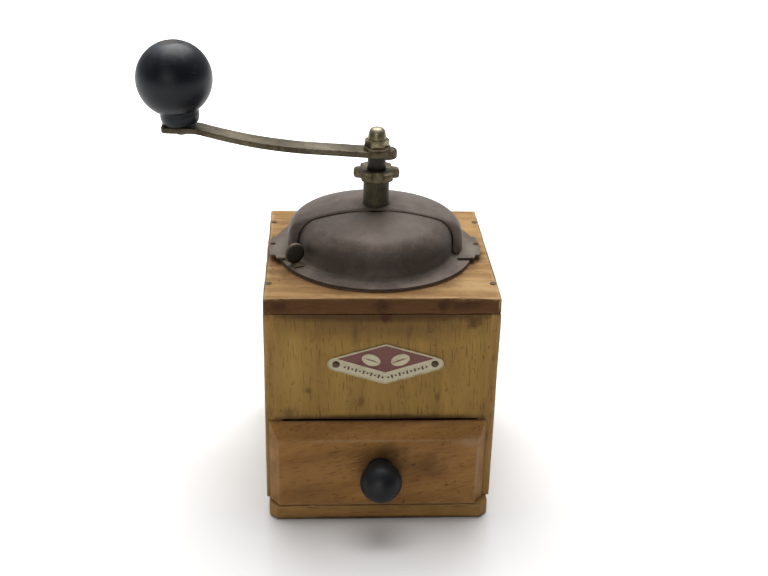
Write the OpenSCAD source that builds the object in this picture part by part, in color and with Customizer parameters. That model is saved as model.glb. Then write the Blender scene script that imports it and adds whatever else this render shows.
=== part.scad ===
// Box coffee mill: wooden case with a drawer, sheet-metal hood and turning lid,
// conical burr mill on a vertical spindle, and a crank with a ball knob.
// The origin is at floor level under the middle of the case. +Z is up and the drawer faces -Y.

/* [Case] */
// Width of the top board, left to right
case_w = 106; // [88:1:150]
// Depth of the top board, front to back
case_d = 106; // [88:1:150]
// Height of the case, from the floor to the top of the top board
case_h = 112; // [93:1:150]
// Thickness of the top and base boards
board_t = 7.5; // [5:0.5:12]
// Thickness of the side panels
side_t = 8; // [6:0.5:12]
// Thickness of the front and back panels
panel_t = 6; // [4:0.5:9]
// Width of side panel edge that stays in sight beside the front panel
edge_strip = 4; // [3:0.5:5]
// How far the panels stand in from the top board's edge
body_inset = 0; // [0:0.1:2]
// How far the base board stands in from the top board's edge
base_inset = 1.3; // [1:0.1:5]

/* [Drawer] */
// Height of the drawer front
drawer_h = 42.4; // [35:0.1:52]
// Thickness of the drawer front
drawer_front_t = 7; // [5:0.5:10]
// Width of the bevels at the drawer front's two ends
end_bevel = 4.3; // [2:0.1:8]
// Height of the bevel along the drawer front's top edge
top_bevel = 7; // [3:0.5:10]
// Thickness of the tray's side and back walls
tray_wall = 5; // [3:0.5:7]
// Thickness of the tray's floor
tray_floor = 3; // [2:0.5:5]
// Gap around the drawer
drawer_gap = 0.4; // [0.3:0.1:1]
// Diameter of the drawer knob
pull_d = 19.2; // [15:0.1:26]

/* [Head] */
// Distance of the spindle from the middle of the case, along X
axis_x = -1.5; // [-3:0.5:3]
// Board left clear outside the hood's rim
rim_margin = 4.6; // [4:0.1:12]
// Width of the hood's flat flange
flange_w = 6.9; // [5:0.1:10]
// Height of the hood above the top board
hood_h = 25; // [21:0.5:32]
// Radius of the hood's shoulder
hood_shoulder = 9.3; // [6:0.1:11]
// Gap between the hood's wall and the lid's wall
lid_gap = 4.6; // [3:0.1:7]
// Thickness of the sheet metal
sheet_t = 0.8; // [0.6:0.1:1.2]
// How far the hood's cut front stands ahead of the spindle
hood_front = 8; // [7:0.5:12]
// Diameter of the lid's finger tab
tab_d = 10; // [7:0.5:12]
// Where the finger tab stands, in degrees from +X
tab_angle = 207; // [200:1:225]

/* [Spindle] */
// Diameter of the spindle
spindle_d = 8.5; // [7:0.1:10.2]
// Diameter of the bearing bush
bush_d = 12.2; // [12:0.1:15]
// Height of the bush above the hood
bush_h = 11.9; // [8:0.1:15]
// Diameter of the star nut over its points
star_d = 21.6; // [18:0.1:26]
// Thickness of the star nut
star_t = 4.2; // [3:0.1:6]
// Number of points on the star nut
star_points = 6; // [5:1:8]
// Bare spindle between the star nut and the crank
neck_h = 6.2; // [4:0.1:9]
// Radial running clearance of the spindle and its nut
run_gap = 0.06; // [0.03:0.01:0.09]
// Width of the cap nut across its flats
cap_flats = 10; // [9:0.5:13]

/* [Crank] */
// Distance from the spindle to the knob
crank_reach = 89; // [75:1:110]
// Width of the crank's strap
strap_w = 11; // [9:0.5:14]
// Thickness of the crank's strap
strap_t = 2.8; // [2:0.1:4]
// Height that the strap climbs from the spindle to the knob
crank_rise = 11.2; // [8:0.1:15]
// Diameter of the ball knob
knob_d = 34.4; // [29:0.5:43]
// Height of the ball's middle above the strap
knob_lift = 21.6; // [20:0.1:27]
// How far the knob leans outwards, in degrees
knob_lean = 6; // [0:0.5:8]
// Slope of the strap's end, up towards its tip
end_slope = 1; // [0:0.5:4]
// Diameter of the pin that the ball knob turns on
knob_pin_d = 5; // [4:0.1:6]

/* [Mill] */
// Depth of the hopper bowl below the top board's surface
bowl_h = 32; // [26:0.5:36]
// Outer diameter of the fixed burr
burr_d = 35; // [29:0.5:42]
// Height of the fixed burr's body
burr_h = 16.8; // [14:0.1:20]
// Radial gap between the two burrs
burr_gap = 0.9; // [0.8:0.05:1.2]
// Diameter of the spindle's lower end
journal_d = 6; // [5:0.1:6.5]

/* [Badge] */
// Length of the badge
badge_w = 52.8; // [40:0.1:64]
// Height of the badge
badge_h = 20.5; // [15:0.1:25]

/* [Hidden] */
$fn = 96;

// Case
body_x = case_w / 2 - body_inset;
body_y = case_d / 2 - body_inset;
panel_x = body_x - edge_strip;
inner_x = body_x - side_t;
inner_y = body_y - panel_t;
base_x = case_w / 2 - base_inset;
base_top = board_t;
wall_top = case_h - board_t;
mouth_top = base_top + drawer_h + 2 * drawer_gap - 0.1;
nail_d = 1.6;

// Drawer
front_x = base_x - 1.5;
front_shift = -1;
front_back = -body_y - drawer_gap;
front_face = front_back - drawer_front_t;
front_z = base_top + drawer_gap;
tray_x = inner_x - 2 * drawer_gap;
tray_end = inner_y - 3;
bevel_lip = 1.2;

// Head, heights counted from the top board's surface
rim_r = min(case_w, case_d) / 2 - rim_margin;
hood_r = rim_r - flange_w;
hood_wall_h = hood_h - hood_shoulder - 6;
hood_bottom = 2.2;
lid_r = hood_r - lid_gap;
lid_h = hood_h - 2.2;
lid_shoulder = hood_shoulder + 0.7;
lid_wall_h = hood_wall_h - 0.7;
lid_bottom = 1;
lid_rim_r = rim_r - 2;
lid_fillet = 1.6;
lid_notch_r = 8.2;
sweep_gap = 0.5;
ear_front = 14.5;
ear_lug = 2;
skirt_back = 6;
bush_top = hood_h + bush_h;

// Spindle, heights counted from the floor
deck = case_h;
washer_t = 1.2;
washer_bottom = deck + bush_top;
star_bottom = washer_bottom + washer_t;
star_top = star_bottom + star_t;
crank_bottom = star_top + neck_h;
boss_t = 3.5;
crank_top = crank_bottom + boss_t;
square_side = (spindle_d - 0.1) / sqrt(2);
stud_d = square_side - 0.1;
key_w = 1.6;
key_depth = 0.8;
cap_base = crank_top + 1;
cap_hex_h = 3.4;
cap_dome_d = 8.2;
cap_h = 9;

// Crank
knob_seat = crank_bottom + crank_rise + strap_t;
ball_z = knob_seat + knob_lift;
collar_d = knob_d * 0.52;
knob_tilt = knob_lean + end_slope;
knob_gap = (collar_d / 2 - 1.3) * sin(knob_tilt) + 0.12;
head_gap = 0.2;
pin_head_d = knob_pin_d + 3.4;

// Mill
bowl_bottom = deck - bowl_h;
bowl_r = min(lid_r - 0.3, inner_x - 4);
bowl_flat_r = burr_d / 2 + 11;
mouth_r = burr_d / 2 - 4;
burr_flange_t = 3.2;
burr_flange_r = burr_d / 2 + 9.5;
burr_top = bowl_bottom;
burr_bottom = burr_top - burr_flange_t - burr_h;
screw_x = burr_d / 2 + 6.4;
screw_d = 3;
leg_x = burr_d / 2 + 0.5;
leg_t = 2.2;
foot_t = 3;
bridge_w = 10;
bridge_top = burr_bottom - 5.4;
bridge_t = 5;
bridge_bottom = bridge_top - bridge_t;
journal_end = bridge_bottom - 1;
cone_bottom = burr_bottom - 0.5;
cone_h = burr_h + 1.6;
tray_h = min(drawer_h - 6, journal_end - 3 - front_z);

module at_axis() {
    translate([axis_x, 0, 0]) children();
}

module block(x0, x1, y0, y1, z0, z1) {
    translate([x0, y0, z0]) cube([x1 - x0, y1 - y0, z1 - z0]);
}

// Places children at the same spot on both sides of the YZ plane
module both_sides() {
    children();
    mirror([1, 0, 0]) children();
}

// Half outline of a dome: straight wall, round shoulder and shallow cap, all tangent
module dome_outline(r, wall_h, shoulder, top) {
    drop = wall_h - top;
    cap_r = (shoulder ^ 2 - (r - shoulder) ^ 2 - drop ^ 2) / (2 * (drop + shoulder));
    cap_z = top - cap_r;
    turn = atan2(wall_h - cap_z, r - shoulder);
    reach = 2 * cap_r;
    square([r, wall_h]);
    intersection() {
        translate([r - shoulder, wall_h]) circle(shoulder);
        square([r, top]);
    }
    intersection() {
        translate([0, cap_z]) circle(cap_r);
        polygon([[0, cap_z], [reach * cos(turn), cap_z + reach * sin(turn)], [0, cap_z + reach]]);
        square([r, top]);
    }
}

module dome_solid(r, wall_h, shoulder, top, bottom) {
    translate([axis_x, 0, deck]) rotate_extrude() intersection() {
        dome_outline(r, wall_h, shoulder, top);
        translate([0, bottom]) square([r, top]);
    }
}

// ---------- Case ----------

nail_y = case_d * 0.345;
nail_x = body_x - 2.2;

module board_nail_holes() {
    for (x = [-nail_x, nail_x], y = [-nail_y, nail_y])
        translate([x, y, case_h - 22]) cylinder(d = nail_d, h = 30);
}

module base_screw_spots() {
    for (x = [-1, 1], y = [-1, 1])
        translate([x * (base_x - 3.4), y * (body_y - 14), 0]) children();
}

module base_screw_holes() {
    base_screw_spots() translate([0, 0, -1]) cylinder(d = 3, h = 19);
}

module base_board() {
    color("#8a5c30") difference() {
        union() {
            block(-base_x, base_x, front_face + 4, body_y - 1.6, 0, base_top);
            hull() {
                block(-base_x, base_x, front_face + 4, front_face + 5, 0, base_top);
                block(-base_x + 3.5, base_x - 3.5, front_face, front_face + 1, 0, base_top);
            }
        }
        base_screw_holes();
        base_screw_spots() translate([0, 0, -0.01]) cylinder(d1 = 6, d2 = 3, h = 1.8);
    }
}

module side_panel() {
    difference() {
        block(inner_x, body_x, -body_y, body_y, base_top, wall_top);
        block(inner_x - 1, panel_x, -body_y - 1, -inner_y, mouth_top, wall_top + 1);
        block(inner_x - 1, panel_x, inner_y, body_y + 1, base_top - 1, wall_top + 1);
        board_nail_holes();
        base_screw_holes();
    }
}

module left_side() {
    color("#b5803c") mirror([1, 0, 0]) side_panel();
}

module right_side() {
    color("#b5803c") side_panel();
}

module front_panel() {
    color("#b98440") difference() {
        block(-panel_x, panel_x, -body_y, -inner_y, mouth_top, wall_top);
        badge_nail_holes();
    }
}

module back_panel() {
    color("#b98440") block(-panel_x, panel_x, inner_y, body_y, base_top, wall_top);
}

module top_board() {
    color("#a9743c") difference() {
        block(-case_w / 2, case_w / 2, -case_d / 2, case_d / 2, wall_top, case_h);
        at_axis() translate([0, 0, wall_top - 1]) cylinder(r = bowl_r + 0.4, h = board_t + 2);
        board_nail_holes();
        hood_nail_holes();
    }
}

module board_nails() {
    color("#4a443e") for (x = [-nail_x, nail_x], y = [-nail_y, nail_y])
        translate([x, y, case_h - 20]) {
            cylinder(d = nail_d, h = 20);
            translate([0, 0, 20]) cylinder(d = 2.8, h = 0.3);
        }
}

module base_screws() {
    color("#6d6a64") base_screw_spots() translate([0, 0, 0.2]) difference() {
        union() {
            cylinder(d = 3, h = 16);
            cylinder(d1 = 5.4, d2 = 3, h = 1.4);
        }
        translate([-4, -0.4, -1]) cube([8, 0.8, 1.8]);
    }
}

badge_x = 1.8;
badge_z = mouth_top + (wall_top - mouth_top) * 0.54;
badge_t = 0.6;
badge_nail_x = badge_w / 2 - 4;

module badge_nail_holes() {
    for (side = [-1, 1])
        translate([badge_x + side * badge_nail_x, -body_y + 5, badge_z])
            rotate([90, 0, 0]) cylinder(d = 1.2, h = 8);
}

// Diamond plate with round ends
module badge_outline() {
    end_r = 3.2;
    hull() {
        for (side = [-1, 1]) translate([side * (badge_w / 2 - end_r), 0]) circle(end_r);
        for (side = [-1, 1]) translate([0, side * (badge_h / 2 - 1)]) circle(1);
    }
}

module badge() {
    color("#8c3a30") difference() {
        translate([badge_x, -body_y, badge_z]) rotate([90, 0, 0]) linear_extrude(badge_t)
            badge_outline();
        badge_nail_holes();
    }
}

module badge_nails() {
    color("#3b3733") for (side = [-1, 1])
        translate([badge_x + side * badge_nail_x, -body_y, badge_z]) rotate([90, 0, 0]) {
            translate([0, 0, -5]) cylinder(d = 1.2, h = 5 + badge_t);
            translate([0, 0, badge_t]) cylinder(d1 = 3.4, d2 = 2, h = 0.8);
        }
}

// ---------- Mill ----------

module mill_screw_spots() {
    for (side = [-1, 1]) at_axis() translate([side * screw_x, 0, 0]) children();
}

module hopper_bowl() {
    outer = [[lid_rim_r, deck + sheet_t], [lid_rim_r, deck], [bowl_r, deck], [bowl_r, deck - 8],
             [bowl_flat_r + 0.6, bowl_bottom], [mouth_r, bowl_bottom]];
    inner = [[mouth_r, bowl_bottom + sheet_t], [bowl_flat_r, bowl_bottom + sheet_t],
             [bowl_r - sheet_t, deck - 7.8], [bowl_r - sheet_t, deck + sheet_t]];
    color("#6a5a4c") difference() {
        at_axis() rotate_extrude() polygon(concat(outer, inner));
        mill_screw_spots() translate([0, 0, bowl_bottom - 1]) cylinder(d = screw_d, h = 4);
    }
}

flare_h = burr_h * 0.36;
throat_r = mouth_r - 1.5;
fine_r = mouth_r + 1.5;

module fixed_burr() {
    top = burr_top;
    low = burr_bottom;
    color("#59554f") difference() {
        at_axis() rotate_extrude() polygon([
            [mouth_r, top], [burr_flange_r, top], [burr_flange_r, top - burr_flange_t],
            [burr_d / 2, top - burr_flange_t], [burr_d / 2, low], [fine_r, low],
            [throat_r, low + flare_h], [throat_r, low + flare_h + 4]]);
        mill_screw_spots() translate([0, 0, top - 5]) cylinder(d = screw_d, h = 6);
        for (i = [0:11]) at_axis() rotate(i * 30)
            translate([throat_r - 1, -0.6, low + flare_h + 1]) cube([2, 1.2, top - low]);
    }
}

module bridge() {
    color("#4e4a45") difference() {
        at_axis() {
            both_sides() {
                block(leg_x, leg_x + leg_t, -bridge_w / 2, bridge_w / 2,
                      bridge_bottom, burr_top - burr_flange_t);
                block(leg_x, burr_flange_r, -bridge_w / 2, bridge_w / 2,
                      burr_top - burr_flange_t - foot_t, burr_top - burr_flange_t);
            }
            block(-leg_x - leg_t, leg_x + leg_t, -bridge_w / 2, bridge_w / 2,
                  bridge_bottom, bridge_bottom + 3);
            translate([0, 0, bridge_bottom]) cylinder(d = journal_d + 7, h = bridge_t);
        }
        at_axis() translate([0, 0, bridge_bottom - 1])
            cylinder(d = journal_d + 2 * run_gap, h = bridge_t + 2);
        mill_screw_spots() translate([0, 0, burr_top - 20]) cylinder(d = screw_d, h = 20);
    }
}

module bridge_screws() {
    head = bowl_bottom + sheet_t;
    color("#8a857c") mill_screw_spots() difference() {
        union() {
            translate([0, 0, head - 11]) cylinder(d = screw_d, h = 11);
            translate([0, 0, head]) cylinder(d1 = 5.2, d2 = 4.2, h = 1.6);
        }
        translate([-3, -0.3, head + 0.9]) cube([6, 0.6, 1]);
    }
}

module bridge_nuts() {
    under = burr_top - burr_flange_t - foot_t;
    color("#8a857c") mill_screw_spots() translate([0, 0, under - 2.4]) difference() {
        cylinder(d = 6.4, h = 2.4, $fn = 6);
        translate([0, 0, -1]) cylinder(d = screw_d, h = 5);
    }
}

// ---------- Hood and lid ----------

module hood_nail_spots() {
    at_axis() both_sides() translate([rim_r + 0.4, 2, 0]) children();
}

module hood_nail_holes() {
    hood_nail_spots() translate([0, 0, deck - 6]) cylinder(d = 1.2, h = 12);
}

module hood_flange() {
    at_axis() intersection() {
        difference() {
            union() {
                translate([0, 0, deck + hood_bottom]) cylinder(r = rim_r, h = sheet_t);
                translate([0, 0, deck + hood_bottom]) linear_extrude(sheet_t) intersection() {
                    circle(rim_r + ear_lug);
                    square([3 * rim_r, 22], center = true);
                }
                intersection() {
                    translate([0, 0, deck]) cylinder(r = rim_r, h = hood_bottom + sheet_t);
                    block(-rim_r, rim_r, skirt_back, rim_r + 1, deck, deck + hood_bottom + 1);
                }
            }
            translate([0, 0, deck - 1]) cylinder(r = rim_r - sheet_t, h = hood_bottom + 1);
            translate([0, 0, deck]) cylinder(r = hood_r - sheet_t, h = 9);
        }
        block(-rim_r - 4, rim_r + 4, -ear_front, rim_r + 1, deck - 1, deck + 9);
    }
}

module hood() {
    color("#58433c") difference() {
        union() {
            hood_flange();
            intersection() {
                difference() {
                    dome_solid(hood_r, hood_wall_h, hood_shoulder, hood_h, hood_bottom);
                    difference() {
                        dome_solid(hood_r - sheet_t, hood_wall_h, hood_shoulder - sheet_t,
                                   hood_h - sheet_t, hood_bottom - 1);
                        block(-case_w, case_w, -hood_front, -hood_front + sheet_t, 0, 2 * case_h);
                    }
                }
                block(-case_w, case_w, -hood_front, case_d, 0, 2 * case_h);
            }
        }
        dome_solid(lid_r + sweep_gap, lid_wall_h, lid_shoulder + sweep_gap,
                   lid_h + sweep_gap, 0);
        translate([axis_x, 0, deck]) rotate_extrude() polygon([
            [0, 0], [lid_r + lid_fillet + sweep_gap, 0], [lid_r + lid_fillet + sweep_gap, 2.2],
            [lid_r + sweep_gap, 2.4 + lid_fillet], [0, 2.4 + lid_fillet]]);
        at_axis() translate([0, 0, deck]) cylinder(d = bush_d, h = 2 * hood_h);
        hood_nail_holes();
    }
}

module hood_nails() {
    color("#3f3a35") hood_nail_spots() {
        translate([0, 0, deck - 6]) cylinder(d = 1.2, h = 6 + hood_bottom + sheet_t);
        translate([0, 0, deck + hood_bottom + sheet_t]) cylinder(d1 = 2.8, d2 = 1.8, h = 0.7);
    }
}

module bearing_bush() {
    bore = spindle_d / 2 + run_gap;
    low = hood_h - 2.5;
    color("#5d5a44") translate([axis_x, 0, deck]) rotate_extrude() polygon([
        [bore, low], [bush_d / 2 + 0.8, low], [bush_d / 2 + 0.8, low + 1.2],
        [bush_d / 2, low + 1.2], [bush_d / 2, hood_h], [bush_d / 2 + 0.7, hood_h],
        [bush_d / 2, hood_h + 1.6], [bush_d / 2, bush_top], [bore, bush_top]]);
}

module lid() {
    color("#4d3a36") difference() {
        union() {
            difference() {
                dome_solid(lid_r, lid_wall_h, lid_shoulder, lid_h, lid_bottom);
                dome_solid(lid_r - sheet_t, lid_wall_h, lid_shoulder - sheet_t,
                           lid_h - sheet_t, 0);
                block(-case_w, case_w, -1.5, case_d, deck + lid_bottom + sheet_t, 2 * case_h);
            }
            translate([axis_x, 0, deck + lid_bottom]) rotate_extrude() polygon([
                [lid_r - sheet_t, 0], [lid_rim_r, 0], [lid_rim_r, sheet_t],
                [lid_r, sheet_t], [lid_r - sheet_t, sheet_t]]);
            difference() {
                translate([axis_x, 0, deck + lid_bottom + sheet_t]) rotate_extrude()
                    polygon([[lid_r - 0.2, 0], [lid_r + lid_fillet - 0.2, 0],
                             [lid_r - 0.2, lid_fillet]]);
                block(-case_w, case_w, -1.5, case_d, deck, 2 * case_h);
            }
        }
        at_axis() translate([0, 0, deck + lid_h / 2]) cylinder(r = lid_notch_r, h = lid_h);
        tab_place() translate([tab_foot_r, -tab_foot_w / 2, deck]) cylinder(d = 1.4, h = 4);
    }
}

tab_foot_r = (lid_r + lid_rim_r) / 2 + 0.4;
tab_foot_w = 4.6;

// Turns children from +X to the finger tab's place on the lid
module tab_place() {
    at_axis() rotate(tab_angle) mirror([0, 1, 0]) children();
}

module finger_tab() {
    foot_top = deck + lid_bottom + 2 * sheet_t;
    centre_z = foot_top + tab_d / 2 - 0.4;
    color("#3c322c") tab_place() difference() {
        union() {
            translate([tab_foot_r + 0.4, 0, centre_z]) rotate([90, 0, 0]) difference() {
                cylinder(d = tab_d, h = sheet_t + 0.5, center = true);
                translate([0, 0, 0.3]) cylinder(d = tab_d - 1.6, h = 2);
            }
            block(tab_foot_r - 2.4, tab_foot_r + 2.6, -tab_foot_w, 0, foot_top - sheet_t, foot_top);
        }
        translate([tab_foot_r, -tab_foot_w / 2, deck]) cylinder(d = 1.4, h = 9);
    }
}

module tab_rivet() {
    foot_top = deck + lid_bottom + 2 * sheet_t;
    color("#6b655a") tab_place() translate([tab_foot_r, -tab_foot_w / 2, 0]) {
        translate([0, 0, deck + lid_bottom]) cylinder(d = 1.4, h = 2 * sheet_t);
        translate([0, 0, foot_top]) cylinder(d1 = 2.6, d2 = 1.6, h = 0.6);
    }
}

// ---------- Spindle group ----------

module thrust_washer() {
    color("#6c6648") at_axis() translate([0, 0, washer_bottom]) {
        difference() {
            cylinder(d = bush_d + 0.6, h = washer_t);
            translate([0, 0, -1]) cylinder(d = spindle_d + 2 * run_gap, h = washer_t + 2);
        }
        block(spindle_d / 2 - key_depth + 0.15, spindle_d / 2 + 0.6,
              -key_w / 2 + 0.08, key_w / 2 - 0.08, 0, washer_t);
    }
}

module star_nut() {
    notch_r = star_d * 0.15;
    color("#6f6a4a") at_axis() translate([0, 0, star_bottom]) difference() {
        cylinder(d = star_d, h = star_t);
        translate([0, 0, -1]) cylinder(d = spindle_d + 2 * run_gap, h = star_t + 2);
        for (i = [0:star_points - 1]) rotate((i + 0.5) * 360 / star_points)
            translate([star_d / 2 + notch_r * 0.3, 0, -1]) cylinder(r = notch_r, h = star_t + 2);
    }
}

module spindle() {
    shank_r = spindle_d / 2;
    cone_top = cone_bottom + cone_h;
    stud_end = cap_base + 6;
    color("#4b4740") at_axis() difference() {
        union() {
            translate([0, 0, journal_end]) cylinder(d = journal_d, h = cone_top - journal_end);
            translate([0, 0, cone_top]) cylinder(r = shank_r, h = crank_bottom - cone_top);
            translate([-square_side / 2, -square_side / 2, crank_bottom])
                cube([square_side, square_side, boss_t - 0.2]);
            translate([0, 0, crank_bottom]) cylinder(d = stud_d, h = stud_end - crank_bottom);
        }
        block(shank_r - key_depth, shank_r + 1, -key_w / 2, key_w / 2,
              washer_bottom - 4, crank_bottom - 1);
    }
}

module turning_burr() {
    slope = (fine_r - throat_r) / flare_h;
    low_r = fine_r - burr_gap + slope * (burr_bottom - cone_bottom);
    mid_r = throat_r - burr_gap;
    top_r = journal_d / 2 + 2.6;
    low = cone_bottom;
    color("#5a564f") at_axis() difference() {
        rotate_extrude() polygon([
            [journal_d / 2, low], [low_r, low], [mid_r, burr_bottom + flare_h],
            [top_r, low + cone_h], [journal_d / 2, low + cone_h]]);
        for (i = [0:7]) rotate([0, 0, i * 45 + 5])
            translate([top_r - 0.9, -0.9, burr_bottom + flare_h + 1.1]) cube([12, 1.8, cone_h]);
        for (i = [0:15]) rotate([0, 0, i * 22.5 + 16.5])
            translate([low_r - 0.75, -0.4, low - 1]) cube([3, 0.8, flare_h]);
    }
}

module burr_nut() {
    color("#77726a") at_axis() translate([0, 0, cone_bottom - 3]) difference() {
        cylinder(d = 11, h = 3, $fn = 6);
        translate([0, 0, -1]) cylinder(d = journal_d, h = 5);
    }
}

// ---------- Crank ----------

first_slope = 3.4;
bend_x = crank_reach * 0.62;
bend_w = 26;
pad_len = 9;

// Height of the strap's underside above the boss, at a distance from the spindle
function strap_ease(x, x0, w) = let (u = (x - x0) / w) u <= -1 ? 0 : u >= 1 ? x - x0
    : w * (u + 1) ^ 2 / 4;
first_rise = tan(first_slope);
pad_x = crank_reach - pad_len + 2;
end_rise = tan(end_slope);
second_rise = (crank_rise - end_rise * (crank_reach - pad_x) - first_rise * pad_x) / (pad_x - bend_x);
function strap_height(x) = first_rise * strap_ease(x, 0, 4)
    + second_rise * strap_ease(x, bend_x, bend_w)
    - (first_rise + second_rise - end_rise) * strap_ease(x, pad_x, 3);

// Tilts children, made upright over the knob's seat, outwards with the leaning pin
module lean() {
    translate([-crank_reach, 0, knob_seat]) rotate([0, -knob_lean, 0])
        translate([crank_reach, 0, -knob_seat]) children();
}

module crank_arm() {
    tip = crank_reach + 9;
    steps = 60;
    stations = [for (i = [0:steps]) i * tip / steps];
    low = [for (x = stations) [-x, strap_height(x)]];
    high = [for (x = stations) [-x, strap_height(x) + strap_t]];
    back = [for (i = [steps:-1:0]) high[i]];
    lobe_r = 4.7;
    color("#6b6046") at_axis() translate([0, 0, crank_bottom]) difference() {
        union() {
            intersection() {
                rotate([90, 0, 0]) linear_extrude(strap_w, center = true) polygon(concat(low, back));
                union() {
                    block(-tip + 3, 0, -strap_w / 2, strap_w / 2, -1, 30);
                    block(-tip, 0, -strap_w / 2 + 3, strap_w / 2 - 3, -1, 30);
                    for (side = [-1, 1]) translate([-tip + 3, side * (strap_w / 2 - 3), -1])
                        cylinder(r = 3, h = 31);
                }
            }
            cylinder(r = strap_w / 2 + 1, h = boss_t);
            translate([lobe_r, 0, -1]) cylinder(r = lobe_r, h = boss_t + 1);
        }
        translate([0, 0, -2]) cylinder(d = square_side * sqrt(2) + 0.3, h = 2);
        block(-square_side / 2, square_side / 2, -square_side / 2, square_side / 2, -1, 9);
        translate([0, 0, -crank_bottom]) lean() translate([-crank_reach, 0, knob_seat - 15])
            cylinder(d = knob_pin_d, h = 30);
        block(lobe_r * 2 - 1, lobe_r * 2 + 1, -0.8, 0.8, boss_t - 2, boss_t + 1);
    }
}

module crank_washer() {
    color("#7a734f") at_axis() translate([0, 0, crank_top]) difference() {
        cylinder(d = cap_flats * 1.24, h = 1);
        translate([0, 0, -1]) cylinder(d = stud_d, h = 3);
    }
}

module cap_nut() {
    dome_h = cap_h - cap_hex_h;
    color("#8b8459") at_axis() translate([0, 0, cap_base]) difference() {
        union() {
            intersection() {
                cylinder(d = cap_flats / cos(30), h = cap_hex_h, $fn = 6);
                cylinder(d1 = cap_flats / cos(30) + 4, d2 = cap_flats, h = cap_hex_h);
            }
            translate([0, 0, cap_hex_h]) cylinder(d = cap_dome_d, h = dome_h - 2.5);
            intersection() {
                translate([0, 0, cap_h - 4.8]) sphere(r = 4.8);
                translate([0, 0, cap_hex_h]) cylinder(d = cap_dome_d, h = dome_h);
            }
        }
        translate([0, 0, -1]) cylinder(d = stud_d, h = 7);
    }
}

module knob_pin() {
    head_z = ball_z + knob_d / 2 - 2.2;
    low = knob_seat - strap_t / cos(knob_lean) - (knob_pin_d / 2 + 0.9) * sin(knob_tilt) - 0.05;
    color("#57524a") at_axis() lean() translate([-crank_reach, 0, 0]) {
        translate([0, 0, low]) cylinder(d = knob_pin_d, h = head_z - low);
        translate([0, 0, low - 0.8]) cylinder(d1 = knob_pin_d, d2 = knob_pin_d + 1.8, h = 0.8);
        translate([0, 0, head_z]) cylinder(d = pin_head_d, h = 1.5);
    }
}

module ball_knob() {
    bottom = knob_seat + knob_gap;
    head_z = ball_z + knob_d / 2 - 2.2;
    color("#1d1d1f") at_axis() lean() translate([-crank_reach, 0, 0]) difference() {
        union() {
            translate([0, 0, ball_z]) sphere(d = knob_d);
            translate([0, 0, bottom]) rotate_extrude() polygon([
                [0, 0], [collar_d / 2 - 1.3, 0], [collar_d / 2 - 0.4, 1.4],
                [collar_d / 2, 3.6], [collar_d / 2, knob_lift * 0.4], [0, knob_lift * 0.4]]);
        }
        translate([0, 0, bottom - 1]) cylinder(d = knob_pin_d + 0.16, h = 2 * knob_d);
        translate([0, 0, head_z - head_gap]) cylinder(d = pin_head_d + 0.6, h = 9);
    }
}

// ---------- Drawer ----------

pull_z = front_z + drawer_h / 2 - 1;
tray_nail_z = [front_z + 10, front_z + tray_h - 8];

module drawer_front() {
    top = front_z + drawer_h;
    face = front_face;
    rear = front_back;
    color("#9c6430") difference() {
        translate([front_shift, 0, 0]) intersection() {
            rotate([90, 0, 90]) linear_extrude(2 * front_x, center = true) polygon([
                [rear, front_z], [face, front_z], [face, top - top_bevel],
                [rear - bevel_lip, top], [rear, top]]);
            translate([0, 0, front_z]) linear_extrude(drawer_h) polygon([
                [-front_x, rear], [-front_x, rear - bevel_lip], [-front_x + end_bevel, face],
                [front_x - end_bevel, face], [front_x, rear - bevel_lip], [front_x, rear]]);
        }
        translate([0, rear + 1, pull_z]) rotate([90, 0, 0])
            cylinder(d = 3, h = drawer_front_t + 2);
        tray_front_nail_holes();
    }
}

module tray_front_nail_holes() {
    for (side = [-1, 1], z = tray_nail_z)
        translate([side * (tray_x - tray_wall / 2), front_back + 12, z])
            rotate([90, 0, 0]) cylinder(d = 1.2, h = 16);
}

module tray_back_nail_spots() {
    for (side = [-1, 1], z = tray_nail_z)
        translate([side * tray_x, tray_end - tray_wall / 2, z]) rotate([0, -side * 90, 0]) children();
}

module tray_side() {
    difference() {
        block(tray_x - tray_wall, tray_x, front_back, tray_end, front_z, front_z + tray_h);
        tray_front_nail_holes();
        tray_back_nail_spots() translate([0, 0, -0.01]) cylinder(d = 1.2, h = 14);
    }
}

module tray_left() {
    color("#c39a5c") mirror([1, 0, 0]) tray_side();
}

module tray_right() {
    color("#c39a5c") tray_side();
}

module tray_back() {
    color("#c39a5c") difference() {
        block(-tray_x + tray_wall, tray_x - tray_wall, tray_end - tray_wall, tray_end,
              front_z, front_z + tray_h);
        tray_back_nail_spots() cylinder(d = 1.2, h = 14);
    }
}

module tray_bottom() {
    color("#c8a468") block(-tray_x + tray_wall, tray_x - tray_wall, front_back,
                           tray_end - tray_wall, front_z, front_z + tray_floor);
}

module tray_nails() {
    color("#5b564e") {
        tray_back_nail_spots() cylinder(d = 1.2, h = 14);
        for (side = [-1, 1], z = tray_nail_z)
            translate([side * (tray_x - tray_wall / 2), front_back + 12, z])
                rotate([90, 0, 0]) cylinder(d = 1.2, h = 16);
    }
}

module drawer_knob() {
    ball_r = pull_d / 2;
    ball_y = front_face - ball_r - 1.2;
    color("#202022") difference() {
        union() {
            translate([0, ball_y, pull_z]) sphere(r = ball_r);
            translate([0, front_face, pull_z]) rotate([90, 0, 0]) {
                cylinder(d = pull_d * 0.62, h = 1.6);
                cylinder(d = pull_d * 0.5, h = 4);
            }
        }
        translate([0, front_face + 1, pull_z]) rotate([90, 0, 0]) cylinder(d = 3, h = 11);
    }
}

module knob_screw() {
    color("#77726a") difference() {
        union() {
            translate([0, front_back, pull_z]) rotate([90, 0, 0])
                cylinder(d = 3, h = drawer_front_t + 9);
            translate([0, front_back + 1.8, pull_z]) rotate([90, 0, 0])
                cylinder(d1 = 4.6, d2 = 6.4, h = 1.8);
        }
        translate([-4, front_back + 1, pull_z - 0.4]) cube([8, 2, 0.8]);
    }
}

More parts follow.
